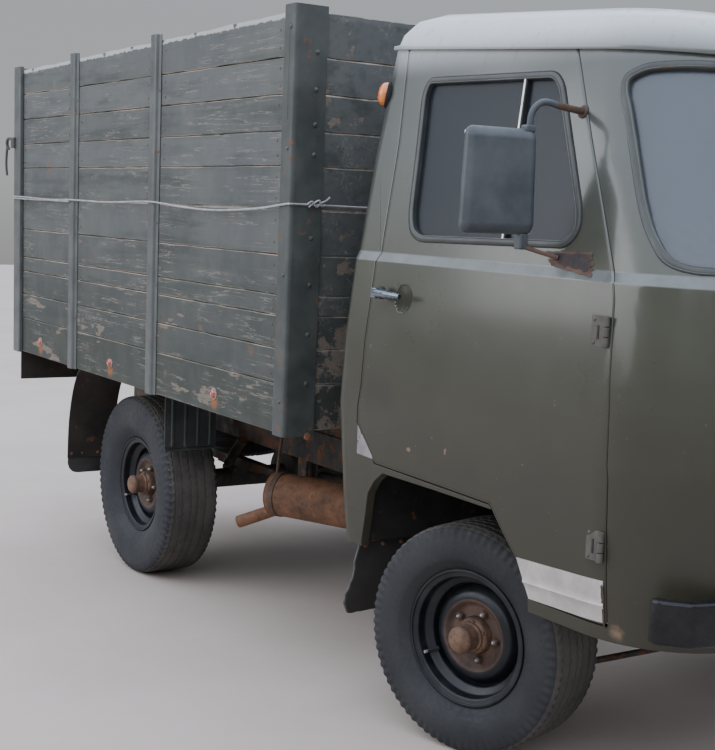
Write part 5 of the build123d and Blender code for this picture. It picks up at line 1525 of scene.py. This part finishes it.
# ------------------------------------------------------------------ sheet parts under the bed
G = Piece("mudguard_skin", "chassis", "rusty_steel", "guard_dark", "black_rubber", "guard_green", "rusty_steel", angle=30)
pts_o = [(1440, 846), (1500, 800), (1560, 700), (1600, 560), (1612, 400)]
arc = [(v.x, v.y) for v in catmull([Vector((a, b, 0)) for a, b in pts_o], 5)]
n = len(arc)
sheet = []
for i, (y, z) in enumerate(arc):
    a, b = Vector(arc[max(i - 1, 0)]), Vector(arc[min(i + 1, n - 1)])
    t = (b - a).normalized()
    sheet.append((y - (-t.y) * 0 + t.y * 4.5, z - t.x * 4.5))
for s in (1, -1):
    x0, x1 = (700, 925) if s > 0 else (-925, -700)
    G.add(g_prism(arc + sheet[::-1], "x", x0, x1, 0.8, 1, 50), 0)
    for x in (x0 + 5, x1 - 5):
        G.add(g_tube([(x, y, z) for y, z in arc], 4.6, 8), 0)
    # rubber flap bolted to the foot of the sheet
    a, b = x0 + 4, x1 - 2
    G.add(g_prism([(a, 456), (b, 456), (b, 372), (b - 8, 350), (b - 24, 334), (b - 46, 329), (a + 46, 329), (a + 24, 334), (a + 8, 350), (a, 372)], "y", 1612, 1618, 1.2, 1), 1)
    for x in (854, 778, 720, 905):
        G.add(bolt((s * x, 1606, 420), (0, -1, 0), 8, 4, True), 3)
        G.add(bolt((s * x, 1618, 420), (0, 1, 0), 8, 4, True), 3)
    # splash plate ahead of the wheel, with pressed bars
    a, b = (664, 890) if s > 0 else (-890, -664)
    G.add(g_box(a, b, 636, 640, 596, 849, 0.8, 1), 2)
    for x in (690, 745, 800, 856):
        G.add(g_prism(round_poly([(s * x - 9, 636.5), (s * x - 5, 630), (s * x + 5, 630), (s * x + 9, 636.5)], 2, 2), "z", 612, 836, 1.0, 1), 2)
    G.add(g_box(a, b, 632, 640, 594, 604, 1.5, 1), 2)
G.done("rear_mudguards")

F = Piece("front_flap_skin", "chassis", "black_rubber", "black_rubber", "bed_steel", "rusty_steel", angle=35)
for s in (1, -1):
    cols, rows = 12, 14
    def fpt(u, v, off):
        # u from the outer edge inwards, v from the top down
        y0, z0 = -811.0, 560.0
        if v < 0.35:
            y, z = -811 + 22 * (v / 0.35), 560 - 90 * (v / 0.35)
        else:
            k = (v - 0.35) / 0.65
            y, z = -789 + 80 * k, 470 - 172 * k
        rag = 9.0 * noise.noise(Vector((v * 6.0, s * 1.0, 0.3))) + 6.0 * noise.noise(Vector((v * 17.0, s * 2.0, 0.7)))
        x = 886 - (886 - 640) * u - (rag + (26.0 if v > 0.86 else 0.0) * (v - 0.86) / 0.14) * (1 - u) ** 2
        z -= 0 if v < 0.95 else 7.0 * noise.noise(Vector((u * 7.0, 3.0, s)))
        return Vector((s * x, y + off + 5.0 * noise.noise(Vector((u * 2.4, v * 2.4, s * 5.0))), z))
    us = [0.0, 0.022] + [k / (cols - 1) for k in range(1, cols)]
    vs = [fpt(u, j / rows, o) for o in (-3.0, 3.0) for u in us for j in range(rows + 1)]
    m, n0 = rows + 1, (cols + 1) * (rows + 1)
    fs, mi = [], []
    for i in range(cols):
        for j in range(rows):
            fs.append([i * m + j, (i + 1) * m + j, (i + 1) * m + j + 1, i * m + j + 1])
            fs.append([n0 + i * m + j, n0 + i * m + j + 1, n0 + (i + 1) * m + j + 1, n0 + (i + 1) * m + j])
            mi += [1 if i < 1 else 0] * 2
    rim = [i * m for i in range(cols + 1)] + [cols * m + j for j in range(1, rows + 1)] + [i * m + rows for i in range(cols - 1, -1, -1)] + [j for j in range(rows - 1, 0, -1)]
    for k in range(len(rim)):
        p, q = rim[k], rim[(k + 1) % len(rim)]
        fs.append([p, q, q + n0, p + n0])
        mi.append(1 if (p < m and q < m) else 0)
    F.add((vs, fs), mi)
    for x in (866, 800, 730, 662):
        F.add(bolt((s * x, -814, 545), (0, -1, 0), 8, 4, True), 2)
F.done("front_mudflaps")

# a worn clamp and hanger on the silencer
X = Piece("silencer_clamp", "chassis", "rusty_steel", "rusty_steel", "rusty_dark", angle=35)
a, b = Vector((-590, 262, 477)), Vector((-300, -328, 470))
d = (b - a).normalized()
for t in (0.05, 0.93):
    c = a.lerp(b, t)
    X.add(turned([(-11, 84.3), (-11, 87.5), (11, 87.5), (11, 84.3)], c, d, 48, True), 1)
X.add(turned([(-3.5, 0), (-3.5, 72), (-1, 81), (2, 84.5), (4, 85.2), (6, 84.2)], a, d, 56), 0)
X.add(turned([(3.5, 0), (3.5, 72), (1, 81), (-2, 84.5), (-4, 85.2), (-6, 84.2)], b, d, 56), 0)
X.add(g_tube([(-590, 250, 556), (-586, 244, 640), (-580, 240, 694)], 6, 8), 1)
X.add(turned([(0, 24.3), (0, 27.5), (16, 27.5), (16, 24.3)], (-566, 208, 436), (Vector((-700, 352, 352)) - Vector((-560, 200, 440))), 28, True), 1)
X.done()

for n in ("lamp_brackets",):
    if n in NODES:
        refine(n, "guard_dark", "frame_black", bev=1.2)

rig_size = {"cad_box": [list(v) for v in CAD_BOX], "visual_box": [list(v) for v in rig.bounds()]}
json.dump(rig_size, open("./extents.json", "w"))
